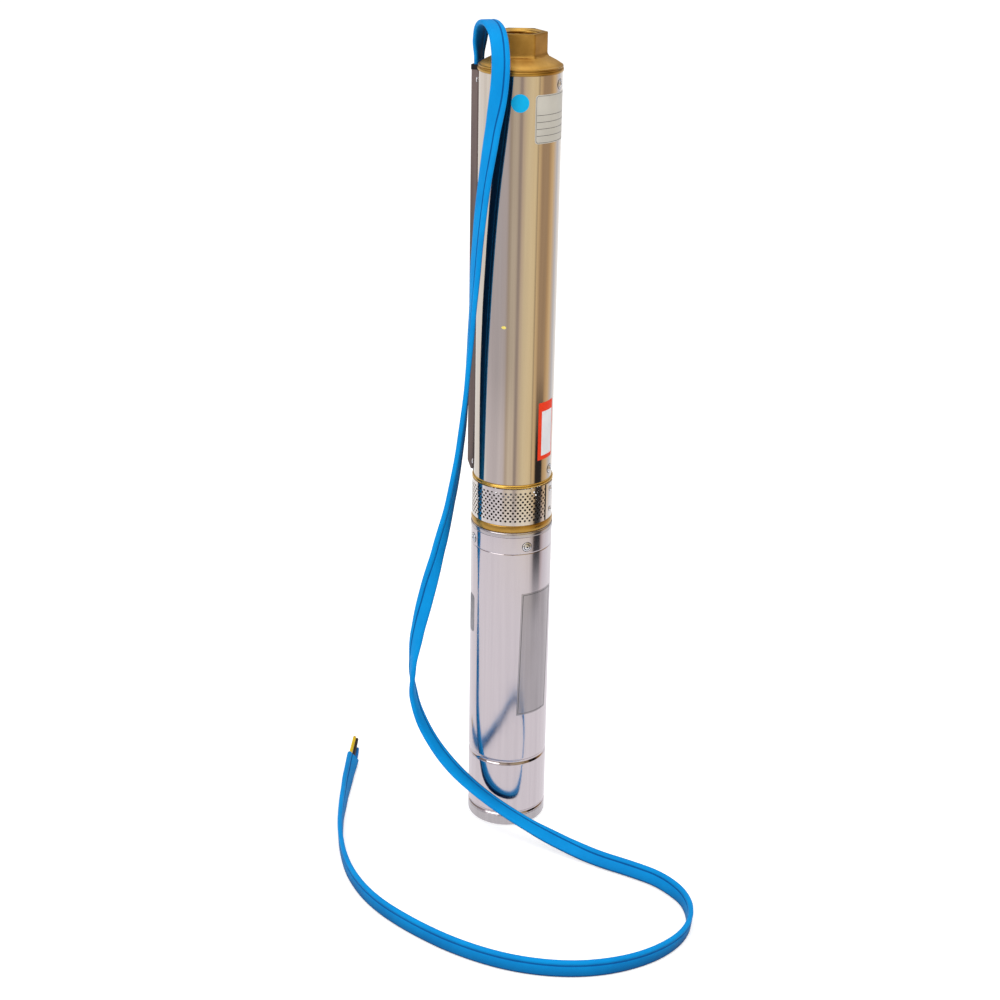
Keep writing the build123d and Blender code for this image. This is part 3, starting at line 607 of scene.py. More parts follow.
# Pump shell: polished tube; its lowest band is open behind the guard, where the cable comes out
shell_r = shell_radius / MM
shell_bore = shell_r - 0.8
shell_foot = shell_low[2] / MM
shell_crown = shell_high[2] / MM
shell_edge = 0.2
cable_gap = radians(13.5)
gap_turn = (guard_azimuth + cable_gap, 2 * pi - 2 * cable_gap)
gap_level = shell_foot + 13
foot_profile = [
    (shell_bore, shell_foot),
    (shell_r - shell_edge, shell_foot),
    (shell_r, shell_foot + shell_edge),
    (shell_r, shell_foot + 0.5),
    (shell_r, gap_level),
    (shell_bore, gap_level),
]
tube_profile = [
    (shell_bore, gap_level),
    (shell_r, gap_level),
    (shell_r, shell_crown - 0.5),
    (shell_r, shell_crown - shell_edge),
    (shell_r - shell_edge, shell_crown),
    (shell_bore, shell_crown),
]
turned("pump_shell_foot", foot_profile, pump_tube, "pump_shell", *gap_turn)
turned("pump_shell_tube", tube_profile, pump_tube, "pump_shell")

# Motor shell: two deep rolled grooves and a faint one near the top, as level, half width and depth
motor_r = motor_radius / MM
motor_bore = motor_r - 1.5
motor_foot = motor_low[2] / MM
motor_crown = motor_high[2] / MM
rolled_grooves = [(14.65, 2.4, 1.2), (73.6, 3.2, 1.3), (302, 0.8, 0.3)]
motor_profile = [
    (motor_bore, motor_foot),
    (motor_r - 0.25, motor_foot),
    (motor_r, motor_foot + 0.25),
    (motor_r, motor_foot + 0.4),
]
for middle, half_width, sunk in rolled_grooves:
    for step in range(-7, 8):
        share = step / 6
        depth = sunk * (0.5 + 0.5 * cos(pi * share)) ** 0.7 if abs(step) < 6 else 0.0
        motor_profile.append((motor_r - depth, middle + half_width * share))
motor_profile += [
    (motor_r, motor_crown - 0.6),
    (motor_r, motor_crown - 0.3),
    (motor_r - 0.3, motor_crown),
    (motor_bore, motor_crown),
]
turned("motor_shell_tube", motor_profile, motor_tube, "motor_shell")


def rounded_rim(inner, outer, bottom, top, low_round, high_round, crown=0.0):
    """A ring's profile with its two outer edges rounded, and its face a little crowned."""
    turns = [pi / 2 * i / 6 for i in range(7)]
    side = outer - crown
    profile = [(inner, bottom)]
    for turn in turns:
        profile.append((side - low_round * (1 - sin(turn)), bottom + low_round * (1 - cos(turn))))
    if crown:
        middle = (bottom + low_round + top - high_round) / 2
        half = (top - high_round - bottom - low_round) / 2
        for i in range(-3, 4):
            profile.append((outer - crown * (i / 4) ** 2, middle + half * i / 4))
    else:
        profile += [(outer, bottom + low_round + 0.3), (outer, top - high_round - 0.3)]
    for turn in turns:
        profile.append((side - high_round * (1 - cos(turn)), top - high_round * (1 - sin(turn))))
    profile.append((inner, top))
    return profile


# Bottom cap, the bell's lip and the suction bracket's rings: CAD bodies inside turned rims
lip_top = bell_high[2] / MM
lip_r = bell_high[0] / MM
ring_top = strainer_low[2] / MM
crown_foot = strainer_high[2] / MM
foot_r = rim_radius("suction_bracket", bracket_low[2] - MM, strainer_low[2] + MM / 2) / MM
crown_r = rim_radius("suction_bracket", strainer_high[2] - MM / 2, bracket_high[2] + MM) / MM
cap_inner = 30
lip_inner = 36.5
ring_inner = 35.5
inner_body("cap_body", "bottom_cap", cap_inner * MM, motor_tube)
cap_ring = rounded_rim(cap_inner, motor_r, 0, motor_foot, 3.0, 0.5)
turned("cap_rim", cap_ring, cap_shade_steel, "bottom_cap")
inner_body("bell_body", "upper_end_bell", lip_inner * MM, lip_steel)
lip_ring = rounded_rim(lip_inner, lip_r, motor_crown, lip_top, 0.9, 1.6)
turned("bell_lip", lip_ring, lip_steel, "upper_end_bell")
# The bracket's inner body gets the painted shade brass.
inner_body("bracket_body", "suction_bracket", ring_inner * MM, bracket_shade_brass)
foot_ring = rounded_rim(ring_inner, foot_r, lip_top, ring_top, 1.3, 1.5, 0.3)
turned("bracket_foot_ring", foot_ring, ring_brass, "suction_bracket")
crown_ring = rounded_rim(ring_inner, crown_r, crown_foot, shell_foot, 1.9, 1.9, 0.05)
turned("bracket_crown_ring", crown_ring, crown_highlight_brass, "suction_bracket", *gap_turn)


# The discharge head: beaded flange, rounded shoulder, hexagon and internal pipe thread
hex_flat = 20.5
hex_corner = 23.35
thread_pitch = 2.309
thread_root = 16.5
thread_crest = 15.145
thread_run = 18.0
thread_start = 1.3
thread_turned = thread_run - 1.6
chamber_radius = 19.0
port_radius = 11.0
seat_height = 6.0
head_sides = 192
flange_gap = radians(14)

# Radii, or offsets from the hexagon, and how far they lie above the flange's foot
flange_bead = [
    (37.4, 0), (38.0, 0.25), (38.3, 0.8), (38.38, 1.6), (38.25, 2.4), (37.95, 3.05),
    (37.55, 3.45), (37.2, 3.6), (37.3, 3.8), (37.7, 4.0), (37.9, 4.4), (37.85, 4.9), (37.5, 5.3),
    (36.8, 5.5),
]
shoulder = [
    (36.2, 5.7), (35.9, 6.0), (35.3, 6.6), (34.2, 7.4), (32.0, 8.6), (29.5, 9.9), (27.0, 11.2),
    (25.4, 12.0), (24.7, 12.6),
]
hexagon_foot = [(1.25, 13.3), (0.7, 14.0), (0.3, 14.8), (0.08, 15.6), (0, 16.6), (0, 24), (0, 31)]


def hexagon_reach(turn):
    """How far the hexagon's side stands from the axis in this direction, its corners eased."""
    from_flat = turn % (pi / 3) - pi / 6
    return min(hex_flat / cos(from_flat), hex_corner)


def thread_reach(turn, level):
    """The pipe thread's radius in this direction and at this level."""
    phase = (level / thread_pitch - turn / (2 * pi)) % 1
    return thread_crest + (thread_root - thread_crest) * abs(2 * phase - 1)


def head_rows(foot, top, spigot_low, spigot_r):
    """The head's rows from its flange up, down its bore and back: kind, size, level and finish."""
    rows = [("round", radius, foot + rise, 1) for radius, rise in flange_bead]
    rows += [("round", radius, foot + rise, 0) for radius, rise in shoulder]
    rows += [("hexagon", offset, foot + rise, 0) for offset, rise in hexagon_foot]
    rows += [("hexagon", 0, top - 0.6, 0), ("hexagon", -0.2, top - 0.15, 1), ("hexagon", -0.6, top, 1)]
    rows += [("round", 18.4, top, 1), ("round", 18.0, top - 0.15, 1), ("round", 17.0, top - 1.1, 1)]
    steps = int(thread_turned / thread_pitch * 8)
    for i in range(steps + 1):
        rows.append(("thread", 0, top - thread_start - thread_turned * i / steps, 1))
    for radius, level in (
        (thread_crest, top - thread_run),
        (chamber_radius, top - thread_run),
        (chamber_radius, spigot_low + seat_height),
        (port_radius, spigot_low + seat_height),
        (port_radius, spigot_low),
        (spigot_r, spigot_low),
        (spigot_r, foot),
    ):
        rows.append(("round", radius, level, 1))
    return rows


def brass_head():
    """The whole head as one closed skin, cut back where the cable passes its flange."""
    spigot_r = rim_radius("discharge_head", head_low[2] - MM, shell_high[2] - MM) / MM
    rows = head_rows(shell_crown, head_high[2] / MM, head_low[2] / MM, spigot_r)
    vertices = []
    for kind, size, level, _ in rows:
        for k in range(head_sides):
            turn = 2 * pi * k / head_sides
            radius = size
            if kind == "hexagon":
                radius = hexagon_reach(turn) + size
            if kind == "thread":
                radius = thread_reach(turn, level)
            beside = (turn - guard_azimuth + pi) % (2 * pi) - pi
            if abs(beside) < flange_gap:
                radius = min(radius, (shell_r + 0.02) / cos(beside))
            vertices.append(polar(radius * MM, turn, level * MM))
    head = mesh_object("brass_head", vertices, band_faces(len(rows), head_sides, True))
    head.data.materials.append(head_brass)
    head.data.materials.append(ring_brass)
    for i, face in enumerate(head.data.polygons):
        face.material_index = rows[(i // head_sides + 1) % len(rows)][3]
    return sharpen(outward(head), 32)


housed(brass_head(), "discharge_head")


# The strainer's perforated sheet
hole_pitch = 4.7 * MM
hole_row = 2.8 * MM
hole_radius = 1.15 * MM
hole_rows = 11
holes_in_row = 49
sheet_wall = 0.6 * MM
holes_start = radians(-14)
tab_lift = 0.45 * MM
tab_first = radians(-34.2)
tab_last = radians(-11)
cell_rim = [
    (1, 0), (1, 1), (0.5, 1), (0, 1), (-0.5, 1), (-1, 1),
    (-1, 0), (-1, -1), (-0.5, -1), (0, -1), (0.5, -1), (1, -1),
]


def hole_cell():
    """A rectangle of sheet with one round hole, laid flat, for tiling in a brick pattern."""
    rim = [(u * hole_pitch / 2, v * hole_row / 2) for u, v in cell_rim]
    turns = [atan2(y, x) for x, y in rim]
    hole = [(hole_radius * cos(turn), hole_radius * sin(turn)) for turn in turns]
    vertices = [(x, y, depth) for depth in (0, -sheet_wall) for x, y in rim + hole]
    count = len(rim)
    faces = []
    for k in range(count):
        after = (k + 1) % count
        faces.append((k, after, count + after, count + k))
        faces.append((2 * count + after, 2 * count + k, 3 * count + k, 3 * count + after))
        faces.append((count + k, count + after, 3 * count + after, 3 * count + k))
    return mesh_object("hole_cell", vertices, faces, smooth=False)


def tree_input(tree, name, value):
    """Puts a named number on a node tree, and gives the identifier that its modifier uses."""
    kind = "NodeSocketInt" if isinstance(value, int) else "NodeSocketFloat"
    item = tree.interface.new_socket(name, in_out="INPUT", socket_type=kind)
    item.default_value = value
    return item.identifier


def new_tree(name):
    """A tree of geometry nodes with a geometry in and a geometry out."""
    tree = bpy.data.node_groups.new(name, "GeometryNodeTree")
    for way in ("OUTPUT", "INPUT"):
        tree.interface.new_socket("Geometry", in_out=way, socket_type="NodeSocketGeometry")
    return tree


def copies(tree, model, inputs):
    """Copies of a model on points, made real."""
    shape = node(tree, "GeometryNodeObjectInfo", {"Object": model}).outputs["Geometry"]
    laid = node(tree, "GeometryNodeInstanceOnPoints", {"Instance": shape, **inputs})
    return node(tree, "GeometryNodeRealizeInstances", {0: laid.outputs[0]}).outputs[0]


def painted(tree, geometry, finish, inputs=None):
    """A geometry with this finish, all over or on a selection."""
    inputs = {"Geometry": geometry, "Material": finish, **(inputs or {})}
    return node(tree, "GeometryNodeSetMaterial", inputs).outputs[0]


def bake(name, tree, geometry, points, inputs):
    """The plain mesh that a live tree makes from these points, with these inputs."""
    node(tree, "NodeGroupOutput", {0: geometry})
    holder = mesh_object(name + "_points", points, [])
    live = holder.modifiers.new(name, "NODES")
    live.node_group = tree
    for identifier, value in inputs.items():
        live[identifier] = value
    return placed(name, live_mesh(holder))


def perforated_sheet():
    """Rows of hole cells, every other row half a pitch along, wrapped round the strainer."""
    tree = new_tree("perforated_sheet")
    for name, value in (
        ("pitch", hole_pitch),
        ("row", hole_row),
        ("per_row", holes_in_row),
        ("rows", hole_rows),
        ("radius", strainer_radius),
        ("first", holes_start),
    ):
        tree_input(tree, name, value)
    low_input = tree_input(tree, "low", 0.0)
    source = node(tree, "NodeGroupInput").outputs

    def calc(operation, *values):
        """A maths node of this tree."""
        return maths(tree, operation, *values)

    index = node(tree, "GeometryNodeInputIndex").outputs[0]
    row = calc("FLOOR", calc("DIVIDE", index, source["per_row"]))
    place = calc("MODULO", index, source["per_row"])
    shift = calc("MULTIPLY", calc("MODULO", row, 2.0), 0.5)
    across = calc("MULTIPLY", calc("ADD", calc("ADD", place, shift), 0.5), source["pitch"])
    height = calc("MULTIPLY", calc("ADD", row, 0.5), source["row"])
    spot = node(tree, "ShaderNodeCombineXYZ", {"X": across, "Y": height}).outputs[0]
    total = calc("MULTIPLY", source["per_row"], source["rows"])
    points = node(tree, "GeometryNodePoints", {"Count": total, "Position": spot}).outputs[0]
    cell = hole_cell()
    flat = copies(tree, cell, {"Points": points})
    position = node(tree, "GeometryNodeInputPosition").outputs[0]
    parts = node(tree, "ShaderNodeSeparateXYZ", {0: position}).outputs
    turn = calc("ADD", calc("DIVIDE", parts["X"], source["radius"]), source["first"])
    reach = calc("ADD", parts["Z"], source["radius"])
    place_inputs = {
        "X": calc("MULTIPLY", calc("COSINE", turn), reach),
        "Y": calc("MULTIPLY", calc("SINE", turn), reach),
        "Z": calc("ADD", parts["Y"], source["low"]),
    }
    wrapped = node(tree, "ShaderNodeCombineXYZ", place_inputs).outputs[0]
    bend = node(tree, "GeometryNodeSetPosition", {"Geometry": flat, "Position": wrapped}).outputs[0]
    joined = node(tree, "GeometryNodeMergeByDistance", {"Distance": 0.02 * MM, "Geometry": bend})
    skin = painted(tree, joined.outputs[0], sheet_steel)
    band = hole_rows * hole_row
    low = strainer_low[2] + (strainer_high[2] - strainer_low[2] - band) / 2
    sheet = bake("perforated_strainer", tree, skin, [(0, 0, 0)], {low_input: low})
    for face in sheet.data.polygons:
        face.use_smooth = True
    bpy.data.objects.remove(cell)
    return sharpen(sheet, 40), low, low + band


def band_profile(radius, wall, bottom, top, soft=0.0):
    """A plain wall's profile, its outer edges broken by a small flat."""
    return [
        (radius - wall, bottom),
        (radius - soft, bottom),
        (radius, bottom + soft),
        (radius, top - soft),
        (radius - soft, top),
        (radius - wall, top),
    ]


def strainer_band(name, bottom, top):
    """A plain margin above or below the holes."""
    return lathe(name, band_profile(strainer_radius, sheet_wall, bottom, top), 200)


def strainer_tab():
    """The plain tab that laps over the sheet's seam."""
    bottom = strainer_low[2] + 0.4 * MM
    top = strainer_high[2] - 0.4 * MM
    profile = band_profile(strainer_radius + tab_lift, 0.44 * MM, bottom, top, 0.1 * MM)
    return lathe("strainer_tab", profile, 24, tab_first, tab_last - tab_first)


perforated, holes_low, holes_high = perforated_sheet()
for piece in (
    perforated,
    strainer_band("strainer_foot", strainer_low[2], holes_low),
    strainer_band("strainer_crown", holes_high, strainer_high[2]),
    strainer_tab(),
):
    housed(dress(piece, sheet_steel), "strainer")


def screw_head(name, radius, height, washer):
    """A domed head with painted shade in its recess and in the low ring round it, on a washer ring if
    it has one, standing on +Z.
    """
    centre = 0.0001 * MM
    seat = 0.05 * MM
    recess = 0.34 * radius
    profile = [(centre, 0.35 * height), (recess, 0.35 * height), (recess * 1.06, 0.9 * height)]
    for i in range(1, 7):
        turn = radians(68) * (1 - i / 6)
        profile.append((radius * cos(turn), height * (0.3 + 0.7 * sin(turn))))
    profile.append((radius, seat))
    if washer:
        groove = radius + 0.5 * MM
        profile += [
            (groove, seat),
            (groove + 0.15 * MM, 0.55 * MM),
            (washer - 0.4 * MM, 0.5 * MM),
            (washer - 0.1 * MM, 0.3 * MM),
            (washer, 0.06 * MM),
            (washer + 0.45 * MM, seat),
        ]
    else:
        profile.append((radius + 0.35 * MM, seat))
    profile += [(profile[-1][0], -seat), (centre, -seat)]
    head = merged(lathe(name, profile, 28), 0.002 * MM)
    # The recess and the low ring round the head are marked for painted shade.
    dark = head.data.attributes.new("recess", "BOOLEAN", "FACE")
    for face in head.data.polygons:
        out = face.center.xy.length
        inside = out < recess * 1.05
        ditch = radius * 1.001 < out and face.center.z < 0.07 * MM
        dark.data[face.index].value = inside or ditch
    return head


def screws_on(name, model, spots):
    """One mesh of screw heads, each at a spot and facing away from the pump's axis."""
    tree = new_tree(name)
    size = tree_input(tree, "size", 1.0)
    source = node(tree, "NodeGroupInput").outputs
    position = node(tree, "GeometryNodeInputPosition").outputs[0]
    level_out = {0: position, 1: (1, 1, 0)}
    place = node(tree, "ShaderNodeVectorMath", level_out, operation="MULTIPLY").outputs[0]
    facing = node(tree, "FunctionNodeAlignEulerToVector", {"Vector": place}, axis="Z").outputs[0]
    inputs = {"Points": source["Geometry"], "Rotation": facing, "Scale": source["size"]}
    heads = painted(tree, copies(tree, model, inputs), screw_steel)
    # Marked faces get the painted shade.
    marked = node(tree, "GeometryNodeInputNamedAttribute", {"Name": "recess"}, data_type="BOOLEAN")
    heads = painted(tree, heads, painted_shade_black, {"Selection": marked.outputs["Attribute"]})
    baked = bake(name, tree, heads, spots, {size: 1.0})
    bpy.data.objects.remove(model)
    return baked


shell_screw_azimuths = (-22.5, 67.5)
motor_screw_azimuths = (-67.5, 22.5, 112.5, -157.5)
guard_screw_angle = 19.0
screw_half = 2.6 * MM
screws_low, screws_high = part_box("shell_screws")
shell_spots = []
guard_spots = []
for level in (screws_low[2] + screw_half, screws_high[2] - screw_half):
    shell_spots += [polar(shell_radius, radians(a), level) for a in shell_screw_azimuths]
    for side in (-guard_screw_angle, guard_screw_angle):
        guard_spots.append(polar(shell_radius + 0.7 * MM, guard_azimuth + radians(side), level))
motor_screw_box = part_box("motor_screws")
motor_screw_level = (motor_screw_box[0][2] + motor_screw_box[1][2]) / 2
motor_spots = [polar(motor_radius, radians(a), motor_screw_level) for a in motor_screw_azimuths]
screws_low, screws_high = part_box("strainer_screws")
strainer_spots = [
    polar(strainer_radius + tab_lift, tab_azimuth, level)
    for level in (screws_low[2] + screw_half, screws_high[2] - screw_half)
]
for kind, label, spots, radius, height, washer in (
    ("shell", "shell_screws", shell_spots, 2.5, 1.3, 4.2),
    ("guard", "shell_screws", guard_spots, 2.6, 1.3, 0),
    ("motor", "motor_screws", motor_spots, 2.7, 1.3, 4.5),
    ("strainer", "strainer_screws", strainer_spots, 2.3, 1.0, 0),
):
    model = screw_head(kind + "_head", radius * MM, height * MM, washer * MM)
    housed(screws_on(kind + "_screw_heads", model, spots), label)


def return_spring():
    """The check valve's coil spring, a wire round the stem."""
    turns = 5
    steps = turns * 24
    middle = (spring_high[0] + spring_low[0]) / 2
    wire_radius = 0.8 * MM
    coil_radius = spring_high[0] - middle - wire_radius
    low = spring_low[2] + wire_radius
    rise = spring_high[2] - spring_low[2] - 2 * wire_radius
    points = []
    widths = []
    for i in range(steps + 1):
        turn = 2 * pi * turns * i / steps
        points.append(polar(coil_radius, turn, low + rise * i / steps))
        widths.append(polar(1, turn, 0))
    return swept("return_spring", points, widths, round_outline(wire_radius, wire_radius, 10))


spring = dress(return_spring(), screw_steel)
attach(spring, "housing")
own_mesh(spring)
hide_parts("valve_spring")


# Blank stickers, thin skins that follow the tube under them; their lifts are in millimetres
run_steps = 24
dot_sides = 48
line_thickness = 0.03


def cut_run(here, after, cuts):
    """Points that cut a straight run into equal lengths, without its end."""
    points = []
    for share in (i / cuts for i in range(cuts)):
        points.append((here[0] + (after[0] - here[0]) * share, here[1] + (after[1] - here[1]) * share))
    return points


def rounded_outline(width, height, corner):
    """The outline of a rectangle with round corners, about its middle, as short runs."""
    points = []
    for across, up, first in ((1, 1, 0), (-1, 1, 90), (-1, -1, 180), (1, -1, 270)):
        middle = (across * (width / 2 - corner), up * (height / 2 - corner))
        for i in range(6):
            turn = radians(first + 90 * i / 5)
            points.append((middle[0] + corner * cos(turn), middle[1] + corner * sin(turn)))
    finer = []
    for here, after in zip(points, points[1:] + points[:1]):
        span = abs(after[0] - here[0]) + abs(after[1] - here[1])
        finer += cut_run(here, after, run_steps if span > 4 * corner + 2 * MM else 1)
    return finer


def slanted_outline(corners, inset=0.0):
    """The outline of a four-cornered film, drawn in from its corners, as short runs."""
    drawn_in = []
    for u, v in corners:
        drawn_in.append((u - inset if u > 0 else u + inset, v - inset if v > 0 else v + inset))
    points = []
    for here, after in zip(drawn_in, drawn_in[1:] + drawn_in[:1]):
        points += cut_run(here, after, run_steps)
    return points


def on_tube(radius, azimuth, level, spot, lift):
    """A point of a flat outline, laid round a tube."""
    return polar(radius + lift * MM, radians(azimuth) + spot[0] / radius, level + spot[1])


def sticker(name, radius, azimuth, level, outline, finish, lift=0.12, rings=12):
    """A skin of this outline on a tube, about an azimuth in degrees and a level."""
    sides = len(outline)
    foot_lift = 0.005
    vertices = [on_tube(radius, azimuth, level, (0, 0), lift)]
    for k in range(1, rings + 1):
        for u, v in outline:
            spot = (u * k / rings, v * k / rings)
            vertices.append(on_tube(radius, azimuth, level, spot, lift))
    vertices += [on_tube(radius, azimuth, level, spot, foot_lift) for spot in outline]
    faces = [(0, 1 + i, 1 + (i + 1) % sides) for i in range(sides)]
    faces += [tuple(1 + corner for corner in face) for face in band_faces(rings + 1, sides)]
    faces.append(tuple(range(1 + rings * sides, 1 + (rings + 1) * sides)))
    housed(dress(sharpen(outward(mesh_object(name, vertices, faces))), finish))


def printed_line(name, radius, azimuth, level, outer, inner, finish, lift):
    """A thin printed frame between two outlines of the same count, a hair above its sticker."""
    low = lift - line_thickness
    vertices = []
    for outline, height in ((outer, lift), (inner, lift), (inner, low), (outer, low)):
        vertices += [on_tube(radius, azimuth, level, spot, height) for spot in outline]
    faces = band_faces(4, len(outer), True)
    housed(dress(sharpen(outward(mesh_object(name, vertices, faces))), finish))


paper_white = moulded("paper_white", (0.66, 0.66, 0.68), (0.78, 0.78, 0.80), 0.4, 0.55, 300, 0.05)
orange_tones = ((0.74, 0.032, 0.004), (0.84, 0.045, 0.008))
border_orange = moulded("border_orange", *orange_tones, 0.4, 0.5, 300, 0.05, 0.15)
dot_blue = moulded("dot_blue", (0.0, 0.38, 0.72), (0.0, 0.44, 0.8), 0.45, 0.55, 300, 0.05, 0.15)
dot_yellow = moulded("dot_yellow", (0.75, 0.6, 0.1), (0.85, 0.7, 0.15), 0.35, 0.45, 300, 0.05)
silver_tones = ((0.47, 0.44, 0.385), (0.56, 0.53, 0.465))
plate_silver = moulded("plate_silver", *silver_tones, 0.35, 0.45, 300, 0.05, 0.25)
plate_ink = moulded("plate_ink", (0.04, 0.04, 0.04), (0.07, 0.07, 0.07), 0.4, 0.5, 300, 0.05, 0.2)
film_silver = drawn_tube("film_silver", (0.36, 0.335, 0.34), (0.44, 0.41, 0.415), 0.16, 0.26)
oblong_grey = moulded("oblong_grey", (0.16, 0.155, 0.17), (0.26, 0.25, 0.27), 0.4, 0.55, 300, 0.05)


def arc_length(radius, degrees):
    """The length round a tube of an angle in degrees."""
    return radius * radians(degrees)


plate_wide = arc_length(shell_radius, 75)
plate_high = 42.8 * MM
plate_azimuth = -31.5
plate_level = 0.7158


def plate_outline(inset, corner):
    """The nameplate's outline, drawn in by this much in all, in millimetres."""
    return rounded_outline(plate_wide - inset * MM, plate_high - inset * MM, corner * MM)


plate_place = (shell_radius, plate_azimuth, plate_level)
plate_lines = (plate_outline(1.6, 2.4), plate_outline(2.3, 2.1))
sticker("nameplate", *plate_place, plate_outline(0, 3), plate_silver)
printed_line("nameplate_border", *plate_place, *plate_lines, plate_ink, 0.15)
rule_half = radians(35)
rule_start = radians(plate_azimuth) - rule_half
rule_foot = shell_radius + 0.1 * MM
rule_face = shell_radius + 0.16 * MM
for row, level in enumerate((0.7015, 0.7075, 0.7135, 0.7195)):
    low = level - 0.2 * MM
    high = level + 0.2 * MM
    rule_section = [(rule_foot, low), (rule_face, low), (rule_face, high), (rule_foot, high)]
    rule = lathe(f"nameplate_rule_{row + 1}", rule_section, 60, rule_start, 2 * rule_half)
    housed(dress(rule, plate_ink))

blue_outline = round_outline(8 * MM, 8 * MM, dot_sides)
yellow_outline = round_outline(2.25 * MM, 1.4 * MM, dot_sides)
sticker("blue_dot", shell_radius, -90, 0.7304, blue_outline, dot_blue)
sticker("yellow_dot", shell_radius, -106.8, 0.5269, yellow_outline, dot_yellow)

label_wide = arc_length(shell_radius, 34)
label_azimuth = -35
edge_outline = rounded_outline(label_wide, 57 * MM, 0.6 * MM)
label_outline = rounded_outline(label_wide - 5.6 * MM, 44 * MM, 0.5 * MM)
sticker("bordered_label_edge", shell_radius, label_azimuth, 0.4235, edge_outline, border_orange)
sticker("bordered_label", shell_radius, label_azimuth + 2.1, 0.4211, label_outline, paper_white, 0.16)

film_azimuth = -46
film_half = 0.0664
film_place = (motor_radius, film_azimuth, 0.1934)
film_corners = []
for azimuth, height in ((-15, film_half), (-73.8, film_half), (-78.1, -film_half), (-23, -film_half)):
    film_corners.append((arc_length(motor_radius, azimuth - film_azimuth), height))
film_lines = (slanted_outline(film_corners, 1.5 * MM), slanted_outline(film_corners, 2.0 * MM))
sticker("film_label", *film_place, slanted_outline(film_corners), film_silver, 0.1)
printed_line("film_border", *film_place, *film_lines, plate_ink, 0.13)

oblong_outline = rounded_outline(12 * MM, 40 * MM, 4 * MM)
seam_shadow_outline = rounded_outline(1.5 * MM, 36.2 * MM, 0.1 * MM)
sticker("dark_oblong", motor_radius, -162, 0.228, oblong_outline, oblong_grey)
# A thin dark strip at the tab's edge: painted shadow of the gap under the tab.
sticker("strainer_seam", strainer_radius, -35.0, 0.35, seam_shadow_outline, painted_shade_black, 0.3, 1)


# The stage: a pale floor, soft lights and a quiet studio round the pump
near_zones = [
    (-180, (0.97, 0.95, 1.0)), (-60, (1.0, 0.97, 0.97)), (-38, (0.94, 0.90, 0.88)),
    (-28, (0.50, 0.47, 0.47)), (-25, (0.03, 0.03, 0.04)), (-4, (0.04, 0.045, 0.05)),
    (0, (0.50, 0.40, 0.40)), (14, (0.92, 0.90, 0.96)), (40, (1.0, 1.0, 1.05)),
    (87, (1.0, 1.0, 1.0)), (89, (0.3, 0.29, 0.3)), (92, (0.3, 0.29, 0.3)), (94, (1.0, 1.0, 1.0)),
    (178, (0.97, 0.95, 1.0)),
]
far_zones = [
    (-180, (0.95, 0.95, 1.0)), (-172, (0.76, 0.73, 0.84)), (-140, (0.72, 0.70, 0.80)),
    (-120, (0.78, 0.74, 0.82)), (-112, (0.62, 0.53, 0.46)), (-104, (0.84, 0.76, 0.66)),
    (-92, (0.80, 0.71, 0.62)), (-87, (0.40, 0.34, 0.33)), (-83, (0.44, 0.37, 0.35)),
    (-78, (0.72, 0.61, 0.50)), (-68, (0.86, 0.75, 0.54)), (-40, (0.94, 0.79, 0.52)),
    (-35, (0.45, 0.36, 0.24)), (-33, (0.86, 0.66, 0.40)), (-25, (0.66, 0.49, 0.30)),
    (-22, (0.035, 0.03, 0.03)), (0, (0.03, 0.03, 0.035)), (5, (0.58, 0.40, 0.23)),
    (20, (0.88, 0.66, 0.40)), (40, (0.72, 0.76, 0.90)), (56, (1.0, 1.0, 1.04)),
    (86, (1.0, 1.0, 1.0)), (88, (0.3, 0.28, 0.27)), (92, (0.3, 0.28, 0.27)),
    (94, (1.0, 1.0, 1.0)), (150, (1.0, 1.0, 1.04)), (176, (0.97, 0.97, 1.0)),
]
distant_zones = []
for azimuth, shade in far_zones:
    if shade[0] < 0.1:
        shade = (0.50, 0.36, 0.24)
    elif -175 < azimuth < -88:
        shade = tuple(0.8 * value for value in shade)
    distant_zones.append((azimuth, shade))


def zone_colour(tree, place, zones):
    """What polished steel mirrors in each direction round the pump."""
    parts = node(tree, "ShaderNodeSeparateXYZ", {0: place}).outputs
    turn = maths(tree, "ARCTAN2", parts["Y"], parts["X"])
    share = maths(tree, "ADD", maths(tree, "DIVIDE", turn, 2 * pi), 0.5)
    return ramp(tree, share, [((azimuth + 180) / 360, colour) for azimuth, colour in zones])


def by_ray(tree, ray, plain, mirrored, output):
    """Shows one shader where polished steel mirrors it and the other everywhere else."""
    inputs = {"Fac": ray["Is Glossy Ray"], 1: plain, 2: mirrored}
    mix = node(tree, "ShaderNodeMixShader", inputs)
    link(tree, mix.outputs[0], tree.nodes[output].inputs["Surface"])


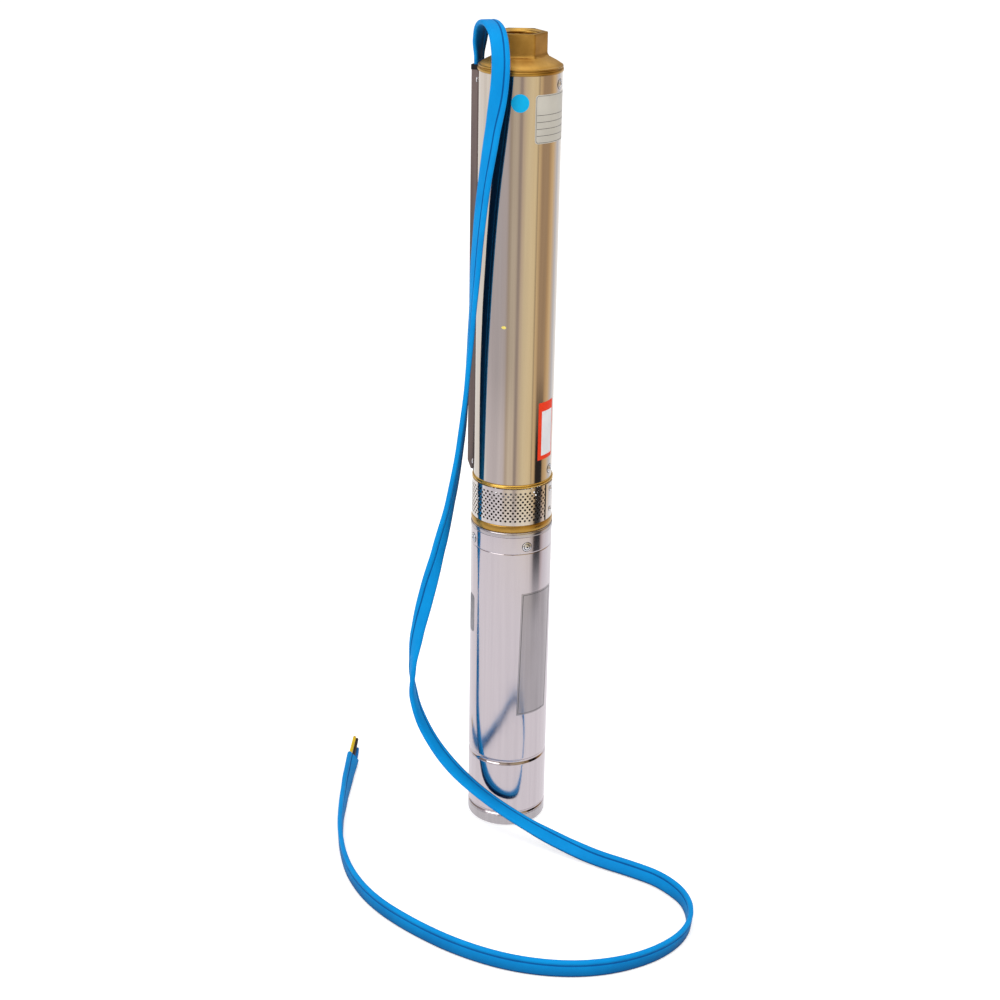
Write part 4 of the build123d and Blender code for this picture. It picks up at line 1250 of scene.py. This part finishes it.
def make_stage():
    """A pale floor that the pump and its cable stand on; its far parts give the steel its streaks."""
    reach = 40.0
    glow = 0.42
    corners = [(-reach, -reach, 0), (reach, -reach, 0), (reach, reach, 0), (-reach, reach, 0)]
    floor = mesh_object("studio_floor", corners, [(0, 1, 2, 3)])
    made, tree, shader = new_material("studio_floor", Roughness=0.7)
    tint = noise(tree, coordinates(tree), 3, 2, 0.5)
    pale = ramp(tree, tint, [(0.3, (0.93, 0.93, 0.93)), (0.7, (0.95, 0.95, 0.95))])
    link(tree, pale, shader.inputs["Base Color"])
    place = coordinates(tree)
    away = node(tree, "ShaderNodeVectorMath", {0: place}, operation="LENGTH").outputs["Value"]
    seen = (0.97, 0.95, 1.0)
    for first, last, zones in (
        (0.5, 0.7, near_zones),
        (0.76, 0.92, far_zones),
        (1.15, 1.5, distant_zones),
    ):
        share = spread(tree, away, 0, 1, first, last)
        seen = mix_colours(tree, share, seen, zone_colour(tree, place, zones))
    mirrored = node(tree, "ShaderNodeEmission", {"Color": seen}).outputs[0]
    ray = node(tree, "ShaderNodeLightPath").outputs
    strength = maths(tree, "MULTIPLY", ray["Is Camera Ray"], glow)
    lift = node(tree, "ShaderNodeEmission", {"Strength": strength}).outputs[0]
    lit = node(tree, "ShaderNodeAddShader", {0: shader.outputs[0], 1: lift}).outputs[0]
    by_ray(tree, ray, lit, mirrored, "Material Output")
    dress(floor, made)


def soft_light(name, place, target, size, size_y, power, mirrored=True):
    """A rectangular soft light that looks at a target."""
    data = bpy.data.lights.new(name, "AREA")
    data.shape = "RECTANGLE"
    data.size = size
    data.size_y = size_y
    data.energy = power
    light = placed(name, data)
    light.location = place
    ahead = (Vector(target) - Vector(place)).normalized()
    light.rotation_euler = ahead.to_track_quat("-Z", "Y").to_euler()
    light.visible_glossy = mirrored


def make_world():
    """Soft white surroundings, with the same quiet zones as the floor where steel mirrors them."""
    world = bpy.data.worlds.new("studio")
    bpy.context.scene.world = world
    world.use_nodes = True
    tree = world.node_tree
    source = node(tree, "ShaderNodeTexCoord").outputs["Generated"]
    height = node(tree, "ShaderNodeSeparateXYZ", {0: source}).outputs["Z"]
    by_height = [
        (0, (0.85, 0.78, 0.68)), (0.12, (0.30, 0.24, 0.18)),
        (0.34, (0.42, 0.37, 0.32)), (0.5, (1, 1, 1)),
    ]
    around = zone_colour(tree, source, far_zones)
    both = mix_colours(tree, 1.0, around, ramp(tree, height, by_height), "MULTIPLY")
    mirrored = tree.nodes["Background"]
    link(tree, both, mirrored.inputs["Color"])
    link(tree, 0.95, mirrored.inputs["Strength"])
    ray = node(tree, "ShaderNodeLightPath").outputs
    level = maths(tree, "ADD", maths(tree, "MULTIPLY", ray["Is Camera Ray"], 0.3), 0.72)
    plain = node(tree, "ShaderNodeBackground", {"Color": (1, 1, 1), "Strength": level})
    by_ray(tree, ray, plain.outputs[0], mirrored.outputs[0], "World Output")


make_stage()
make_world()
soft_light("key_light", (-1.6, -1.8, 1.9), (0, 0, 0.4), 2.0, 2.2, 27)
soft_light("fill_light", (1.9, -1.2, 1.4), (0, 0, 0.4), 0.9, 2.0, 9, False)
soft_light("top_light", (0.1, -0.2, 2.6), (0, -0.1, 0), 2.2, 2.2, 12)
bpy.context.scene.view_settings.view_transform = "Standard"
